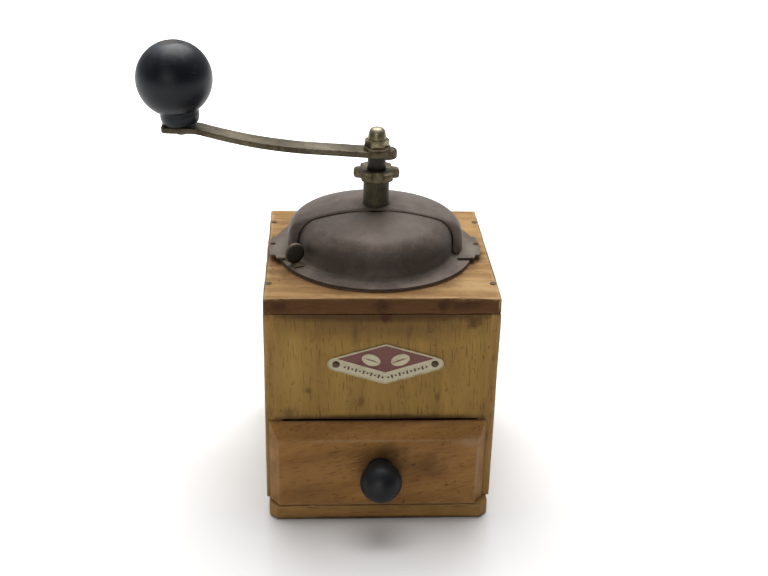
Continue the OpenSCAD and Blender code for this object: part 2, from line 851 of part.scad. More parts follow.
base_board();
left_side();
right_side();
front_panel();
back_panel();
top_board();
board_nails();
base_screws();
badge();
badge_nails();
hopper_bowl();
fixed_burr();
bridge();
bridge_screws();
bridge_nuts();
hood();
hood_nails();
bearing_bush();
lid();
finger_tab();
tab_rivet();
thrust_washer();
star_nut();
spindle();
turning_burr();
burr_nut();
crank_arm();
crank_washer();
cap_nut();
knob_pin();
ball_knob();
drawer_front();
tray_left();
tray_right();
tray_back();
tray_bottom();
drawer_knob();
knob_screw();
tray_nails();
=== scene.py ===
"""The looks of an antique table coffee mill, modelled over its fixed CAD frame.

A wooden case with a drawer carries a steel head: a half dome, a lid that turns under it, and a
crank with a ball knob. Sizes are in millimetres in the classes and in metres in Blender.
"""

import logging
import math
from dataclasses import dataclass
from enum import Enum
from typing import Callable, Iterable, Sequence, Union

import bpy
from mathutils import Matrix, Vector


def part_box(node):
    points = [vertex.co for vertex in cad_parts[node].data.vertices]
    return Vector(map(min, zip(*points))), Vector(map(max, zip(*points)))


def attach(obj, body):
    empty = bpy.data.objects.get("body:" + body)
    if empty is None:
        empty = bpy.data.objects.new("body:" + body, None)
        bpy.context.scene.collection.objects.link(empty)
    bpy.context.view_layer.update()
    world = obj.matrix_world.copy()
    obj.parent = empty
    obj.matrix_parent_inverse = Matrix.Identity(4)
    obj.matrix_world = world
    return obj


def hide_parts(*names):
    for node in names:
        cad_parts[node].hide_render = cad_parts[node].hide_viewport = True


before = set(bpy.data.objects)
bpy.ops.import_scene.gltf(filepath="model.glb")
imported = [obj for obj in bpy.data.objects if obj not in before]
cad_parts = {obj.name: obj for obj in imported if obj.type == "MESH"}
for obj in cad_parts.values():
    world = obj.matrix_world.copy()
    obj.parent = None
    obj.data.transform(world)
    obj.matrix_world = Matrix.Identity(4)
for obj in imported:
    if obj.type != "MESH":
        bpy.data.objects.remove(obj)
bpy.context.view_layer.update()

LOG = logging.getLogger("mill")
MM = 0.001
FULL_TURN = 2 * math.pi
Rgb = tuple[float, float, float]
Point = Sequence[float]
Number = Union[float, "Val"]


class Axis(Enum):
    """An axis of the shared frame, by its number."""

    X = 0
    Y = 1
    Z = 2

    @property
    def vector(self) -> Vector:
        """The unit vector along this axis."""
        return Vector([1.0 if i == self.value else 0.0 for i in range(3)])


class Join(Enum):
    """How one solid is joined to another."""

    CUT = "DIFFERENCE"
    ADD = "UNION"
    KEEP = "INTERSECT"


# ---------------------------------------------------------------- shader nodes


class Val:
    """A number that varies over a surface. Python's operators add the Math nodes."""

    def __init__(self, paint: "Paint", socket: bpy.types.NodeSocket) -> None:
        """Wraps an output socket of the paint's node tree."""
        self.paint = paint
        self.socket = socket

    def math(self, operation: str, *numbers: Number) -> "Val":
        """Adds one Math node.

        Args:
            operation: the Math node's operation.
            numbers: its inputs in order.

        Returns:
            The node's result.
        """
        made = self.paint.node("ShaderNodeMath", {"operation": operation}, dict(enumerate(numbers)))
        return Val(self.paint, made.outputs[0])

    def __add__(self, other: Number) -> "Val":
        """self + other"""
        return self.math("ADD", self, other)

    __radd__ = __add__

    def __sub__(self, other: Number) -> "Val":
        """self - other"""
        return self.math("SUBTRACT", self, other)

    def __rsub__(self, other: Number) -> "Val":
        """other - self"""
        return self.math("SUBTRACT", other, self)

    def __mul__(self, other: Number) -> "Val":
        """self * other"""
        return self.math("MULTIPLY", self, other)

    __rmul__ = __mul__

    def __truediv__(self, other: Number) -> "Val":
        """self / other"""
        return self.math("DIVIDE", self, other)

    def __pow__(self, other: Number) -> "Val":
        """self ** other"""
        return self.math("POWER", self, other)

    def __abs__(self) -> "Val":
        """The distance from zero."""
        return self.math("ABSOLUTE", self)

    def low(self, other: Number) -> "Val":
        """The smaller of the two."""
        return self.math("MINIMUM", self, other)

    def high(self, other: Number) -> "Val":
        """The larger of the two."""
        return self.math("MAXIMUM", self, other)

    def rise(self, start: float, end: float) -> "Val":
        """A soft step.

        Args:
            start: the value where the result is 0.
            end: the value where it is 1. It may be the smaller of the two.

        Returns:
            The step, from 0 to 1.
        """
        made = self.paint.node(
            "ShaderNodeMapRange",
            {"interpolation_type": "SMOOTHSTEP"},
            {0: self, 1: start, 2: end, 3: 0.0, 4: 1.0},
        )
        return Val(self.paint, made.outputs[0])


class Paint:
    """One material's node tree, and the patterns that the finishes share."""

    def __init__(self, name: str, seed: float = 0.0) -> None:
        """Starts a material.

        Args:
            name: the material's name.
            seed: moves every pattern, so that two boards don't look alike.
        """
        self.material = bpy.data.materials.new(name)
        self.material.use_nodes = True
        self.tree = self.material.node_tree
        self.tree.nodes.clear()
        self.seed = seed
        place = self.node("ShaderNodeTexCoord")
        self.place = place.outputs["Object"]

    def node(self, kind: str, settings: dict | None = None, inputs: dict | None = None) -> bpy.types.Node:
        """Makes one node.

        Args:
            kind: the node's type.
            settings: attributes to set first; "stops" fills a colour ramp.
            inputs: a number, colour, Val or socket for each input.

        Returns:
            The node.
        """
        made = self.tree.nodes.new(kind)
        for key, value in (settings or {}).items():
            if key == "stops":
                ramp = made.color_ramp
                while len(ramp.elements) < len(value):
                    ramp.elements.new(1.0)
                for element, (position, colour) in zip(ramp.elements, value):
                    element.position = position
                    element.color = (*colour, 1.0)
            else:
                setattr(made, key, value)
        for key, value in (inputs or {}).items():
            socket = value.socket if isinstance(value, Val) else value
            if isinstance(socket, bpy.types.NodeSocket):
                self.tree.links.new(socket, made.inputs[key])
            else:
                made.inputs[key].default_value = socket
        return made

    def stretched(self, grain: Axis, along: float, turn: Point = (0.0, 0.0, 0.0)) -> bpy.types.NodeSocket:
        """Object coordinates drawn out along the grain.

        Args:
            grain: the axis of the grain.
            along: the pattern's frequency along the grain, next to 1 across it.
            turn: how the pattern is turned first, in degrees.

        Returns:
            The coordinates.
        """
        scale = [1.0, 1.0, 1.0]
        scale[grain.value] = along
        shift = (self.seed * 0.37, self.seed * 0.73, self.seed * 0.51)
        turned = self.node(
            "ShaderNodeMapping",
            {"vector_type": "POINT"},
            {0: self.place, 1: shift, 2: [math.radians(a) for a in turn]},
        )
        made = self.node("ShaderNodeMapping", {"vector_type": "POINT"}, {0: turned.outputs[0], 3: scale})
        return made.outputs[0]

    def noise(
        self,
        scale: float,
        detail: float = 3.0,
        rough: float = 0.55,
        where: bpy.types.NodeSocket | None = None,
        warp: float = 0.0,
    ) -> Val:
        """Soft noise, about 0.5 in the middle.

        Args:
            scale: waves per metre.
            detail: how many finer layers it has.
            rough: how strong the finer layers are.
            where: its coordinates, or None for the moved object coordinates.
            warp: how far it bends itself.

        Returns:
            The noise.
        """
        if where is None:
            where = self.stretched(Axis.X, 1.0)
        made = self.node(
            "ShaderNodeTexNoise",
            None,
            {"Vector": where, "Scale": scale, "Detail": detail, "Roughness": rough, "Distortion": warp},
        )
        return Val(self, made.outputs[0])

    def rings(self, where: bpy.types.NodeSocket, grain: Axis, spacing: float, warp: float) -> Val:
        """Growth rings round the grain.

        Args:
            where: the coordinates.
            grain: the axis that the rings go round.
            spacing: the distance between rings, in metres.
            warp: how far the rings wander.

        Returns:
            The rings, from 0 to 1.
        """
        made = self.node(
            "ShaderNodeTexWave",
            {"wave_type": "RINGS", "rings_direction": grain.name, "wave_profile": "SIN"},
            {
                "Vector": where,
                "Scale": FULL_TURN / (20 * spacing),
                "Distortion": warp,
                "Detail": 2.0,
                "Detail Scale": 0.4,
                "Detail Roughness": 0.5,
            },
        )
        return Val(self, made.outputs["Fac"])

    def xyz(self) -> list[Val]:
        """The object coordinates as three numbers, in metres."""
        made = self.node("ShaderNodeSeparateXYZ", None, {0: self.place})
        return [Val(self, out) for out in made.outputs]

    def edge_distance(self, low: Point, high: Point) -> Val:
        """How far a point of a box's surface is from the box's nearest edge.

        Args:
            low: the box's lowest corner, in metres.
            high: its highest corner.

        Returns:
            The distance in metres.
        """
        gaps = []
        for value, start, end in zip(self.xyz(), low, high):
            gaps.append((end - start) / 2 - abs(value - (start + end) / 2))
        first, second, third = gaps
        return first.low(second).high(first.high(second).low(third))

    def spot(self, smudge: "Smudge") -> Val:
        """The mask of one smudge, from 0 to its strength."""
        away = self.node(
            "ShaderNodeVectorMath",
            {"operation": "SUBTRACT"},
            {0: self.place, 1: [c * MM for c in smudge.centre]},
        )
        sized = self.node(
            "ShaderNodeVectorMath",
            {"operation": "DIVIDE"},
            {0: away.outputs[0], 1: [r * MM for r in smudge.reach]},
        )
        length = self.node("ShaderNodeVectorMath", {"operation": "LENGTH"}, {0: sized.outputs[0]})
        ragged = (self.noise(smudge.grit, 4.0, 0.65) - 0.5) * smudge.ragged
        return (Val(self, length.outputs[1]) + ragged).rise(1.0, smudge.core) * smudge.strength

    def mix(
        self, factor: Number, first: object, second: object, blend: str = "MIX"
    ) -> bpy.types.NodeSocket:
        """Mixes two colours.

        Args:
            factor: how much of the second.
            first: a colour or a colour socket.
            second: the other.
            blend: the Mix node's blend type.

        Returns:
            The mixed colour's socket.
        """
        made = self.node(
            "ShaderNodeMix",
            {"data_type": "RGBA", "blend_type": blend, "clamp_factor": True},
            {0: factor, 6: self.colour(first), 7: self.colour(second)},
        )
        return made.outputs[2]

    def ramp(self, value: Val, *stops: tuple[float, Rgb]) -> bpy.types.NodeSocket:
        """Colours a number by a ramp of (position, colour) stops."""
        return self.node("ShaderNodeValToRGB", {"stops": stops}, {0: value}).outputs[0]

    @staticmethod
    def colour(value: object) -> object:
        """A plain colour with its alpha added; a socket stays as it is."""
        return (*value, 1.0) if isinstance(value, tuple) and len(value) == 3 else value

    def finish(
        self,
        base: bpy.types.NodeSocket,
        roughness: Number,
        metallic: Number = 0.0,
        relief: Val | None = None,
        depth: float = 0.0002,
        **constants: float,
    ) -> bpy.types.Material:
        """Ends the tree in a Principled shader.

        Args:
            base: the colour.
            roughness: a number or a Val.
            metallic: a number or a Val.
            relief: the height of the small relief, from 0 to 1.
            depth: the relief's depth in metres.
            constants: other sockets of the shader, with spaces as underscores.

        Returns:
            The material.
        """
        inputs = {"Base Color": base, "Roughness": roughness, "Metallic": metallic}
        for key, value in constants.items():
            inputs[key.replace("_", " ")] = value
        if relief is not None:
            lift = {"Height": relief, "Distance": depth, "Strength": 1.0}
            bump = self.node("ShaderNodeBump", None, lift)
            inputs["Normal"] = bump.outputs[0]
        shader = self.node("ShaderNodeBsdfPrincipled", None, inputs)
        self.node("ShaderNodeOutputMaterial", None, {0: shader.outputs[0]})
        return self.material


@dataclass(frozen=True)
class Smudge:
    """A soft patch at one place, in millimetres, for a stain, polish and dust, and for painted shade and
    highlights.
    """

    centre: Point
    reach: Point
    tint: Rgb
    strength: float = 0.7
    core: float = 0.25
    ragged: float = 0.9
    grit: float = 120.0


@dataclass(frozen=True)
class Wood:
    """Old varnished wood with grain, rings, pores, stains, worn edges and painted shade."""

    name: str
    light: Rgb
    dark: Rgb
    grain: Axis
    seed: float = 0.0
    spacing: float = 6.0
    ring: float = 0.3
    turn: Point = (0.0, 0.0, 0.0)
    stain: float = 0.6
    stain_tint: Rgb = (0.045, 0.02, 0.007)
    wear_tint: Rgb = (0.42, 0.26, 0.12)
    wear: float = 0.5
    nicks: float = 0.6
    roughness: float = 0.5
    gloss: float = 0.1
    box: tuple[Point, Point] | None = None
    smudges: tuple[Smudge, ...] = ()

    def make(self) -> bpy.types.Material:
        """The finished material."""
        paint = Paint(self.name, self.seed)
        drawn = paint.stretched(self.grain, 0.07, self.turn)
        fine = paint.noise(1500.0, 3.0, 0.6, paint.stretched(self.grain, 0.03, self.turn))
        streak = paint.noise(190.0, 4.0, 0.6, drawn, 0.4)
        rings = paint.rings(drawn, self.grain, self.spacing * MM, 5.0)
        tone = streak * (0.75 - self.ring * 0.5) + fine * 0.25 + rings * self.ring * 0.5
        middle = tuple((a * b) ** 0.5 for a, b in zip(self.light, self.dark))
        base = paint.ramp(tone, (0.26, self.dark), (0.47, middle), (0.68, self.light))
        broad = paint.noise(26.0, 5.0, 0.6, None, 0.3)
        base = paint.mix(broad.rise(0.6, 0.3) * 0.4, base, self.dark)
        base = paint.mix(broad.rise(0.53, 0.75) * self.stain * 0.7, base, self.stain_tint)
        pores = paint.noise(1900.0, 1.0, 0.5, paint.stretched(self.grain, 0.06, self.turn))
        pores = pores.rise(0.62, 0.72)
        base = paint.mix(pores * 0.45, base, self.stain_tint)
        specks = paint.noise(330.0, 3.0, 0.7).rise(0.66, 0.73) * self.nicks
        base = paint.mix(specks, base, self.stain_tint)
        roughness = self.roughness + (broad - 0.5) * 0.35 + specks * 0.2
        if self.box is not None:
            gap = paint.edge_distance(*self.box) + (paint.noise(150.0, 4.0, 0.7) - 0.5) * 0.0045
            base = paint.mix(gap.rise(0.0024, 0.0002) * self.wear, base, self.wear_tint)
        for smudge in self.smudges:
            base = paint.mix(paint.spot(smudge), base, smudge.tint)
        relief = 0.5 + fine * 0.25 + streak * 0.3 - pores * 0.35 - specks * 0.6
        return paint.finish(base, roughness, relief=relief, depth=0.00035, Specular_IOR_Level=self.gloss)


@dataclass(frozen=True)
class Metal:
    """Old metal with a mottled skin, speckles, dirt and painted shade."""

    name: str
    base: Rgb
    patina: Rgb
    speck: Rgb
    specks: float = 0.6
    speck_scale: float = 900.0
    metallic: float = 0.8
    roughness: float = 0.45
    mottle: float = 90.0
    seed: float = 0.0
    depth: float = 0.00012
    smudges: tuple[Smudge, ...] = ()
    gloss: float = 0.5

    def make(self) -> bpy.types.Material:
        """The finished material."""
        paint = Paint(self.name, self.seed)
        mottle = paint.noise(self.mottle, 6.0, 0.65, None, 0.4)
        fine = paint.noise(2600.0, 2.0, 0.6)
        base = paint.mix(mottle.rise(0.36, 0.66), self.base, self.patina)
        specks = paint.noise(self.speck_scale, 3.0, 0.7).rise(0.56, 0.66) * self.specks
        base = paint.mix(specks, base, self.speck)
        pits = paint.noise(self.speck_scale * 1.7, 2.0, 0.6).rise(0.42, 0.32) * self.specks
        base = paint.mix(pits * 0.8, base, tuple(0.25 * c for c in self.base))
        metal = self.metallic * (1 - specks * 0.7)
        roughness = self.roughness + (mottle - 0.5) * 0.3 + specks * 0.25
        for smudge in self.smudges:
            mask = paint.spot(smudge)
            base = paint.mix(mask, base, smudge.tint)
            metal = metal * (1 - mask * 0.8)
            roughness = roughness + mask * 0.2
        relief = 0.5 + fine * 0.25 + mottle * 0.4 + specks * 0.4 - pits * 0.5
        return paint.finish(base, roughness, metal, relief, self.depth, Specular_IOR_Level=self.gloss)


@dataclass(frozen=True)
class Lacquer:
    """Black turned wood under worn lacquer, with dust and painted highlights."""

    name: str
    base: Rgb = (0.003, 0.0042, 0.0068)
    dust_and_sheen: Rgb = (0.018, 0.023, 0.03)
    roughness: float = 0.36
    gloss: float = 0.22
    seed: float = 0.0
    smudges: tuple[Smudge, ...] = ()

    def make(self) -> bpy.types.Material:
        """The finished material."""
        paint = Paint(self.name, self.seed)
        cloud = paint.noise(60.0, 5.0, 0.65)
        fine = paint.noise(1800.0, 3.0, 0.65)
        scratch = paint.noise(900.0, 2.0, 0.5, paint.stretched(Axis.Y, 0.05, (25.0, 0.0, 35.0)))
        marks = scratch.rise(0.66, 0.72)
        base = paint.mix(cloud.rise(0.5, 0.75) * 0.35, self.base, self.dust_and_sheen)
        base = paint.mix(marks * 0.4, base, self.dust_and_sheen)
        chips = paint.noise(240.0, 4.0, 0.7).rise(0.69, 0.73)
        base = paint.mix(chips * 0.5, base, (0.05, 0.035, 0.025))
        for smudge in self.smudges:
            base = paint.mix(paint.spot(smudge), base, smudge.tint)
        roughness = self.roughness + (cloud - 0.5) * 0.3 + marks * 0.15 + fine * 0.06
        relief = 0.5 + fine * 0.15 + cloud * 0.2 - marks * 0.2 - chips * 0.4
        return paint.finish(base, roughness, relief=relief, depth=0.0001, Specular_IOR_Level=self.gloss)


@dataclass(frozen=True)
class Enamel:
    """Stove enamel on a thin plate, chipped and a little dirty."""

    name: str
    base: Rgb
    dirt: Rgb = (0.05, 0.035, 0.02)
    roughness: float = 0.35
    seed: float = 0.0

    def make(self) -> bpy.types.Material:
        """The finished material."""
        paint = Paint(self.name, self.seed)
        cloud = paint.noise(140.0, 5.0, 0.65)
        grit = paint.noise(1300.0, 3.0, 0.7)
        worn = cloud.rise(0.52, 0.72)
        base = paint.mix(worn * 0.45, self.base, self.dirt)
        base = paint.mix(grit.rise(0.6, 0.7) * 0.5, base, self.dirt)
        roughness = self.roughness + worn * 0.3
        return paint.finish(base, roughness, relief=0.5 + grit * 0.3 - worn * 0.3, depth=0.00006)


# ---------------------------------------------------------------- modelling


class Bench:
    """Modelling moves, in the order that a hand would make them. Points are in millimetres."""

    @staticmethod
    def pick(obj: bpy.types.Object | None = None) -> None:
        """Leaves only this object selected and active, or nothing."""
        bpy.ops.object.select_all(action="DESELECT")
        if obj is not None:
            obj.select_set(True)
            bpy.context.view_layer.objects.active = obj

    @classmethod
    def settle(cls, name: str) -> bpy.types.Object:
        """Names the new primitive and puts its place into its mesh.

        Args:
            name: the object's name.

        Returns:
            The object.
        """
        obj = bpy.context.object
        obj.name = name
        obj.data.name = name
        cls.pick(obj)
        bpy.ops.object.transform_apply(location=True, rotation=True, scale=True)
        return obj

    @classmethod
    def block(cls, name: str, low: Point, high: Point) -> bpy.types.Object:
        """A box between two corners.

        Args:
            name: the object's name.
            low: the lowest corner.
            high: the highest corner.

        Returns:
            The object.
        """
        cls.pick()
        centre = [(a + b) / 2 * MM for a, b in zip(low, high)]
        size = [(b - a) * MM for a, b in zip(low, high)]
        bpy.ops.mesh.primitive_cube_add(size=1, location=centre, scale=size)
        return cls.settle(name)

    @classmethod
    def grid(cls, obj: bpy.types.Object, pitch: float, axes: str = "XYZ") -> None:
        """Divides a solid by evenly spaced planes, so that it can be made uneven.

        Args:
            obj: the solid.
            pitch: the distance between planes, in millimetres.
            axes: the axes that the planes stand across.
        """
        corners_now = [Vector(c) / MM for c in obj.bound_box]
        cls.pick(obj)
        bpy.ops.object.mode_set(mode="EDIT")
        for axis in (Axis[letter] for letter in axes):
            start = min(c[axis.value] for c in corners_now)
            end = max(c[axis.value] for c in corners_now)
            count = max(1, round((end - start) / pitch))
            for i in range(1, count):
                bpy.ops.mesh.select_all(action="SELECT")
                plane = axis.vector * (start + (end - start) * i / count) * MM
                bpy.ops.mesh.bisect(plane_co=plane, plane_no=axis.vector)
        bpy.ops.object.mode_set(mode="OBJECT")

    @classmethod
    def choose(cls, obj: bpy.types.Object, wanted: Callable[[Vector], bool]) -> None:
        """Selects the vertices that pass a test, and leaves the object in edit mode.

        Args:
            obj: the object.
            wanted: says of a vertex's place, in millimetres, whether it is chosen.
        """
        cls.pick(obj)
        bpy.ops.object.mode_set(mode="EDIT")
        bpy.ops.mesh.select_mode(type="VERT")
        bpy.ops.mesh.select_all(action="DESELECT")
        bpy.ops.object.mode_set(mode="OBJECT")
        for vertex in obj.data.vertices:
            vertex.select = wanted(vertex.co / MM)
        bpy.ops.object.mode_set(mode="EDIT")

    @classmethod
    def choose_faces(cls, obj: bpy.types.Object, wanted: Callable[[Vector], bool]) -> None:
        """Selects the faces whose normal passes a test, and stays in edit mode.

        Args:
            obj: the object.
            wanted: says of a face's normal whether it is chosen.
        """
        cls.pick(obj)
        bpy.ops.object.mode_set(mode="EDIT")
        bpy.ops.mesh.select_mode(type="FACE")
        bpy.ops.mesh.select_all(action="DESELECT")
        bpy.ops.object.mode_set(mode="OBJECT")
        for face in obj.data.polygons:
            face.select = wanted(face.normal)
        bpy.ops.object.mode_set(mode="EDIT")

    @classmethod
    def round_edges(
        cls,
        obj: bpy.types.Object,
        wanted: Callable[[Vector, Vector], bool],
        width: float,
        segments: int = 5,
    ) -> None:
        """Rounds the edges that pass a test.

        Args:
            obj: the object.
            wanted: says of an edge's two ends, in millimetres, whether it is rounded.
            width: how far the rounding reaches, in millimetres.
            segments: the steps of the rounding.
        """
        cls.choose(obj, lambda place: False)
        bpy.ops.mesh.select_mode(type="EDGE")
        bpy.ops.object.mode_set(mode="OBJECT")
        for edge in obj.data.edges:
            start, end = (obj.data.vertices[i].co / MM for i in edge.vertices)
            edge.select = wanted(start, end)
        bpy.ops.object.mode_set(mode="EDIT")
        bpy.ops.mesh.bevel(offset=width * MM, segments=segments, affect="EDGES", clamp_overlap=False)
        bpy.ops.mesh.select_mode(type="VERT")
        bpy.ops.object.mode_set(mode="OBJECT")

    @classmethod
    def turned(
        cls,
        name: str,
        outline: Iterable[Point],
        centre: Point = (0.0, 0.0, 0.0),
        axis: Axis = Axis.Z,
        steps: int = 96,
    ) -> bpy.types.Object:
        """Turns an outline on the lathe.

        Args:
            name: the object's name.
            outline: (radius, height) points, counted from the centre along the axis.
            centre: the point on the axis.
            axis: the lathe's axis. Along Y, height counts towards the front.
            steps: the number of sides of the round.

        Returns:
            The object, closed, with its normals outwards.
        """
        points = []
        for radius, height in outline:
            flat = Vector((radius, 0.0, height)) if axis is Axis.Z else Vector((radius, -height, 0.0))
            points.append((flat + Vector(centre)) * MM)
        cls.pick()
        bpy.ops.mesh.primitive_plane_add(size=0.001, location=points[0])
        obj = cls.settle(name)
        bpy.ops.object.mode_set(mode="EDIT")
        bpy.ops.mesh.select_all(action="SELECT")
        bpy.ops.mesh.merge(type="CENTER")
        for start, end in zip(points, points[1:]):
            bpy.ops.mesh.extrude_region_move(TRANSFORM_OT_translate={"value": end - start})
        bpy.ops.mesh.select_all(action="SELECT")
        hub = Vector(centre) * MM
        bpy.ops.mesh.spin(steps=steps, angle=FULL_TURN, center=hub, axis=axis.vector, use_auto_merge=True)
        bpy.ops.mesh.select_all(action="SELECT")
        bpy.ops.mesh.remove_doubles(threshold=2e-6)
        bpy.ops.mesh.normals_make_consistent(inside=False)
        bpy.ops.object.mode_set(mode="OBJECT")
        return obj

    @classmethod
    def prism(
        cls, name: str, outline: Sequence[Point], start: float, end: float, axis: Axis = Axis.Z
    ) -> bpy.types.Object:
        """Extrudes a flat outline.

        Args:
            name: the object's name.
            outline: points across the axis: (x, y) for Z, or (x, z) for Y.
            start: where the extrusion starts on the axis.
            end: where it ends.
            axis: the axis that it follows.

        Returns:
            The object, closed, with its normals outwards.
        """
        cls.pick()
        bpy.ops.mesh.primitive_circle_add(vertices=len(outline), radius=1, fill_type="NGON")
        obj = cls.settle(name)
        for vertex, (across, up) in zip(obj.data.vertices, outline):
            place = (across, up, start) if axis is Axis.Z else (across, start, up)
            vertex.co = Vector(place) * MM
        bpy.ops.object.mode_set(mode="EDIT")
        bpy.ops.mesh.select_all(action="SELECT")
        travel = axis.vector * (end - start) * MM
        bpy.ops.mesh.extrude_region_move(TRANSFORM_OT_translate={"value": travel})
        bpy.ops.mesh.select_all(action="SELECT")
        bpy.ops.mesh.normals_make_consistent(inside=False)
        bpy.ops.object.mode_set(mode="OBJECT")
        return obj

    @classmethod
    def rod(
        cls,
        name: str,
        centre: Point,
        radius: float,
        length: float,
        turn: Point = (0.0, 0.0, 0.0),
        sides: int = 48,
    ) -> bpy.types.Object:
        """A round bar for cutting, adding or hiding. The turn is in degrees."""
        cls.pick()
        bpy.ops.mesh.primitive_cylinder_add(
            vertices=sides,
            radius=radius * MM,
            depth=length * MM,
            location=[c * MM for c in centre],
            rotation=[math.radians(a) for a in turn],
        )
        return cls.settle(name)

    @classmethod
    def pebble(cls, centre: Point, reach: Point, turn: Point = (0.0, 0.0, 0.0)) -> bpy.types.Object:
        """A rounded lump that cuts a dent or chip. The turn is in degrees."""
        cls.pick()
        bpy.ops.mesh.primitive_ico_sphere_add(
            subdivisions=3,
            radius=1,
            location=[c * MM for c in centre],
            scale=[r * MM for r in reach],
            rotation=[math.radians(a) for a in turn],
        )
        return cls.settle("pebble")

    @classmethod
    def join(cls, obj: bpy.types.Object, tool: bpy.types.Object, how: Join = Join.CUT) -> None:
        """Cuts, adds or keeps by another solid, which is used up."""
        modifier = obj.modifiers.new("join", "BOOLEAN")
        modifier.operation = how.value
        modifier.object = tool
        modifier.solver = "EXACT"
        cls.apply(obj, modifier)
        bpy.data.objects.remove(tool, do_unlink=True)

    @classmethod
    def apply(cls, obj: bpy.types.Object, modifier: bpy.types.Modifier) -> None:
        """Applies a modifier to the mesh."""
        cls.pick(obj)
        bpy.ops.object.modifier_apply(modifier=modifier.name)

    @classmethod
    def bevel(cls, obj: bpy.types.Object, width: float, segments: int = 3, angle: float = 32.0) -> None:
        """Rounds the edges that are sharper than an angle in degrees. The width is in millimetres."""
        modifier = obj.modifiers.new("bevel", "BEVEL")
        modifier.width = width * MM
        modifier.segments = segments
        modifier.limit_method = "ANGLE"
        modifier.angle_limit = math.radians(angle)
        modifier.use_clamp_overlap = True
        cls.apply(obj, modifier)

    @classmethod
    def wobble(cls, obj: bpy.types.Object, height: float, size: float) -> None:
        """Makes a surface a little uneven, as old things are.

        Args:
            obj: the piece.
            height: how far from lowest to highest, in millimetres.
            size: the width of the waves, in millimetres.
        """
        texture = bpy.data.textures.new("unevenness", "CLOUDS")
        texture.noise_scale = size * MM
        texture.noise_depth = 1
        modifier = obj.modifiers.new("wobble", "DISPLACE")
        modifier.texture = texture
        modifier.texture_coords = "LOCAL"
        modifier.strength = height * MM
        modifier.mid_level = 0.5
        cls.apply(obj, modifier)

    @classmethod
    def slice(cls, obj: bpy.types.Object, point: Point, outwards: Point) -> None:
        """Saws off what lies beyond a plane, and closes the cut."""
        cls.pick(obj)
        bpy.ops.object.mode_set(mode="EDIT")
        bpy.ops.mesh.select_all(action="SELECT")
        bpy.ops.mesh.bisect(
            plane_co=[c * MM for c in point],
            plane_no=Vector(outwards).normalized(),
            use_fill=True,
            clear_outer=True,
        )
        bpy.ops.object.mode_set(mode="OBJECT")

    @classmethod
    def swing(
        cls,
        obj: bpy.types.Object,
        angle: float,
        axis: Axis,
        centre: Point,
        shift: Point = (0.0, 0.0, 0.0),
    ) -> None:
        """Turns a mesh about a point, and then moves it.

        Args:
            obj: the piece.
            angle: the operator's angle in radians, which turns the other way round Z.
            axis: the axis that it turns about.
            centre: a point on that axis.
            shift: how far it is moved afterwards.
        """
        cls.pick(obj)
        bpy.ops.object.mode_set(mode="EDIT")
        bpy.ops.mesh.select_all(action="SELECT")
        bpy.ops.transform.rotate(
            value=angle, orient_axis=axis.name, center_override=[c * MM for c in centre]
        )
        if any(shift):
            bpy.ops.transform.translate(value=[c * MM for c in shift])
        bpy.ops.object.mode_set(mode="OBJECT")

    @classmethod
    def clean(cls, obj: bpy.types.Object, merge: float = 2e-6, angle: float = 30.0) -> None:
        """Merges doubles, drops loose bits and smooths the shading up to an angle in degrees."""
        cls.pick(obj)
        bpy.ops.object.mode_set(mode="EDIT")
        bpy.ops.mesh.select_all(action="SELECT")
        bpy.ops.mesh.remove_doubles(threshold=merge)
        bpy.ops.mesh.dissolve_degenerate(threshold=1e-6)
        bpy.ops.mesh.delete_loose(use_verts=True, use_edges=True, use_faces=False)
        bpy.ops.object.mode_set(mode="OBJECT")
        bpy.ops.object.shade_smooth_by_angle(angle=math.radians(angle))


def arc(centre: Point, radius: float, start: float, end: float, steps: int) -> list[tuple[float, float]]:
    """Points on an arc.

    Args:
        centre: the arc's centre.
        radius: its radius.
        start: the first angle in degrees.
        end: the last angle in degrees.
        steps: the number of pieces.

    Returns:
        The points, both ends included.
    """
    points = []
    for i in range(steps + 1):
        angle = math.radians(start + (end - start) * i / steps)
        points.append((centre[0] + radius * math.cos(angle), centre[1] + radius * math.sin(angle)))
    return points


@dataclass(frozen=True)
class Dome:
    """The outline that the hood and the lid share: a wall, a round shoulder and a shallow cap."""

    radius: float
    wall: float
    shoulder: float
    top: float

    def thinner(self, sheet: float) -> "Dome":
        """The same dome, smaller by a sheet's thickness."""
        return Dome(self.radius - sheet, self.wall, self.shoulder - sheet, self.top - sheet)

    def outline(self, base: float) -> list[tuple[float, float]]:
        """The outline from the foot of the wall to the top.

        Args:
            base: the height of the wall's foot.

        Returns:
            (radius, height) points.
        """
        drop = self.wall - self.top
        inset = self.radius - self.shoulder
        cap = (self.shoulder**2 - inset**2 - drop**2) / (2 * (drop + self.shoulder))
        middle = self.top - cap
        turn = math.degrees(math.atan2(self.wall - middle, inset))
        shoulder = arc((inset, self.wall), self.shoulder, 0, turn, 12)
        return [(self.radius, base), *shoulder, *arc((0, middle), cap, turn, 90, 22)[1:]]

    def solid(self, name: str, axis_x: float, deck: float, base: float) -> bpy.types.Object:
        """The dome as a full solid on the deck, its foot at a height above it."""
        outline = [(0.0, base), *self.outline(base)]
        return Bench.turned(name, outline, (axis_x, 0.0, deck))


# ---------------------------------------------------------------- sub-assemblies


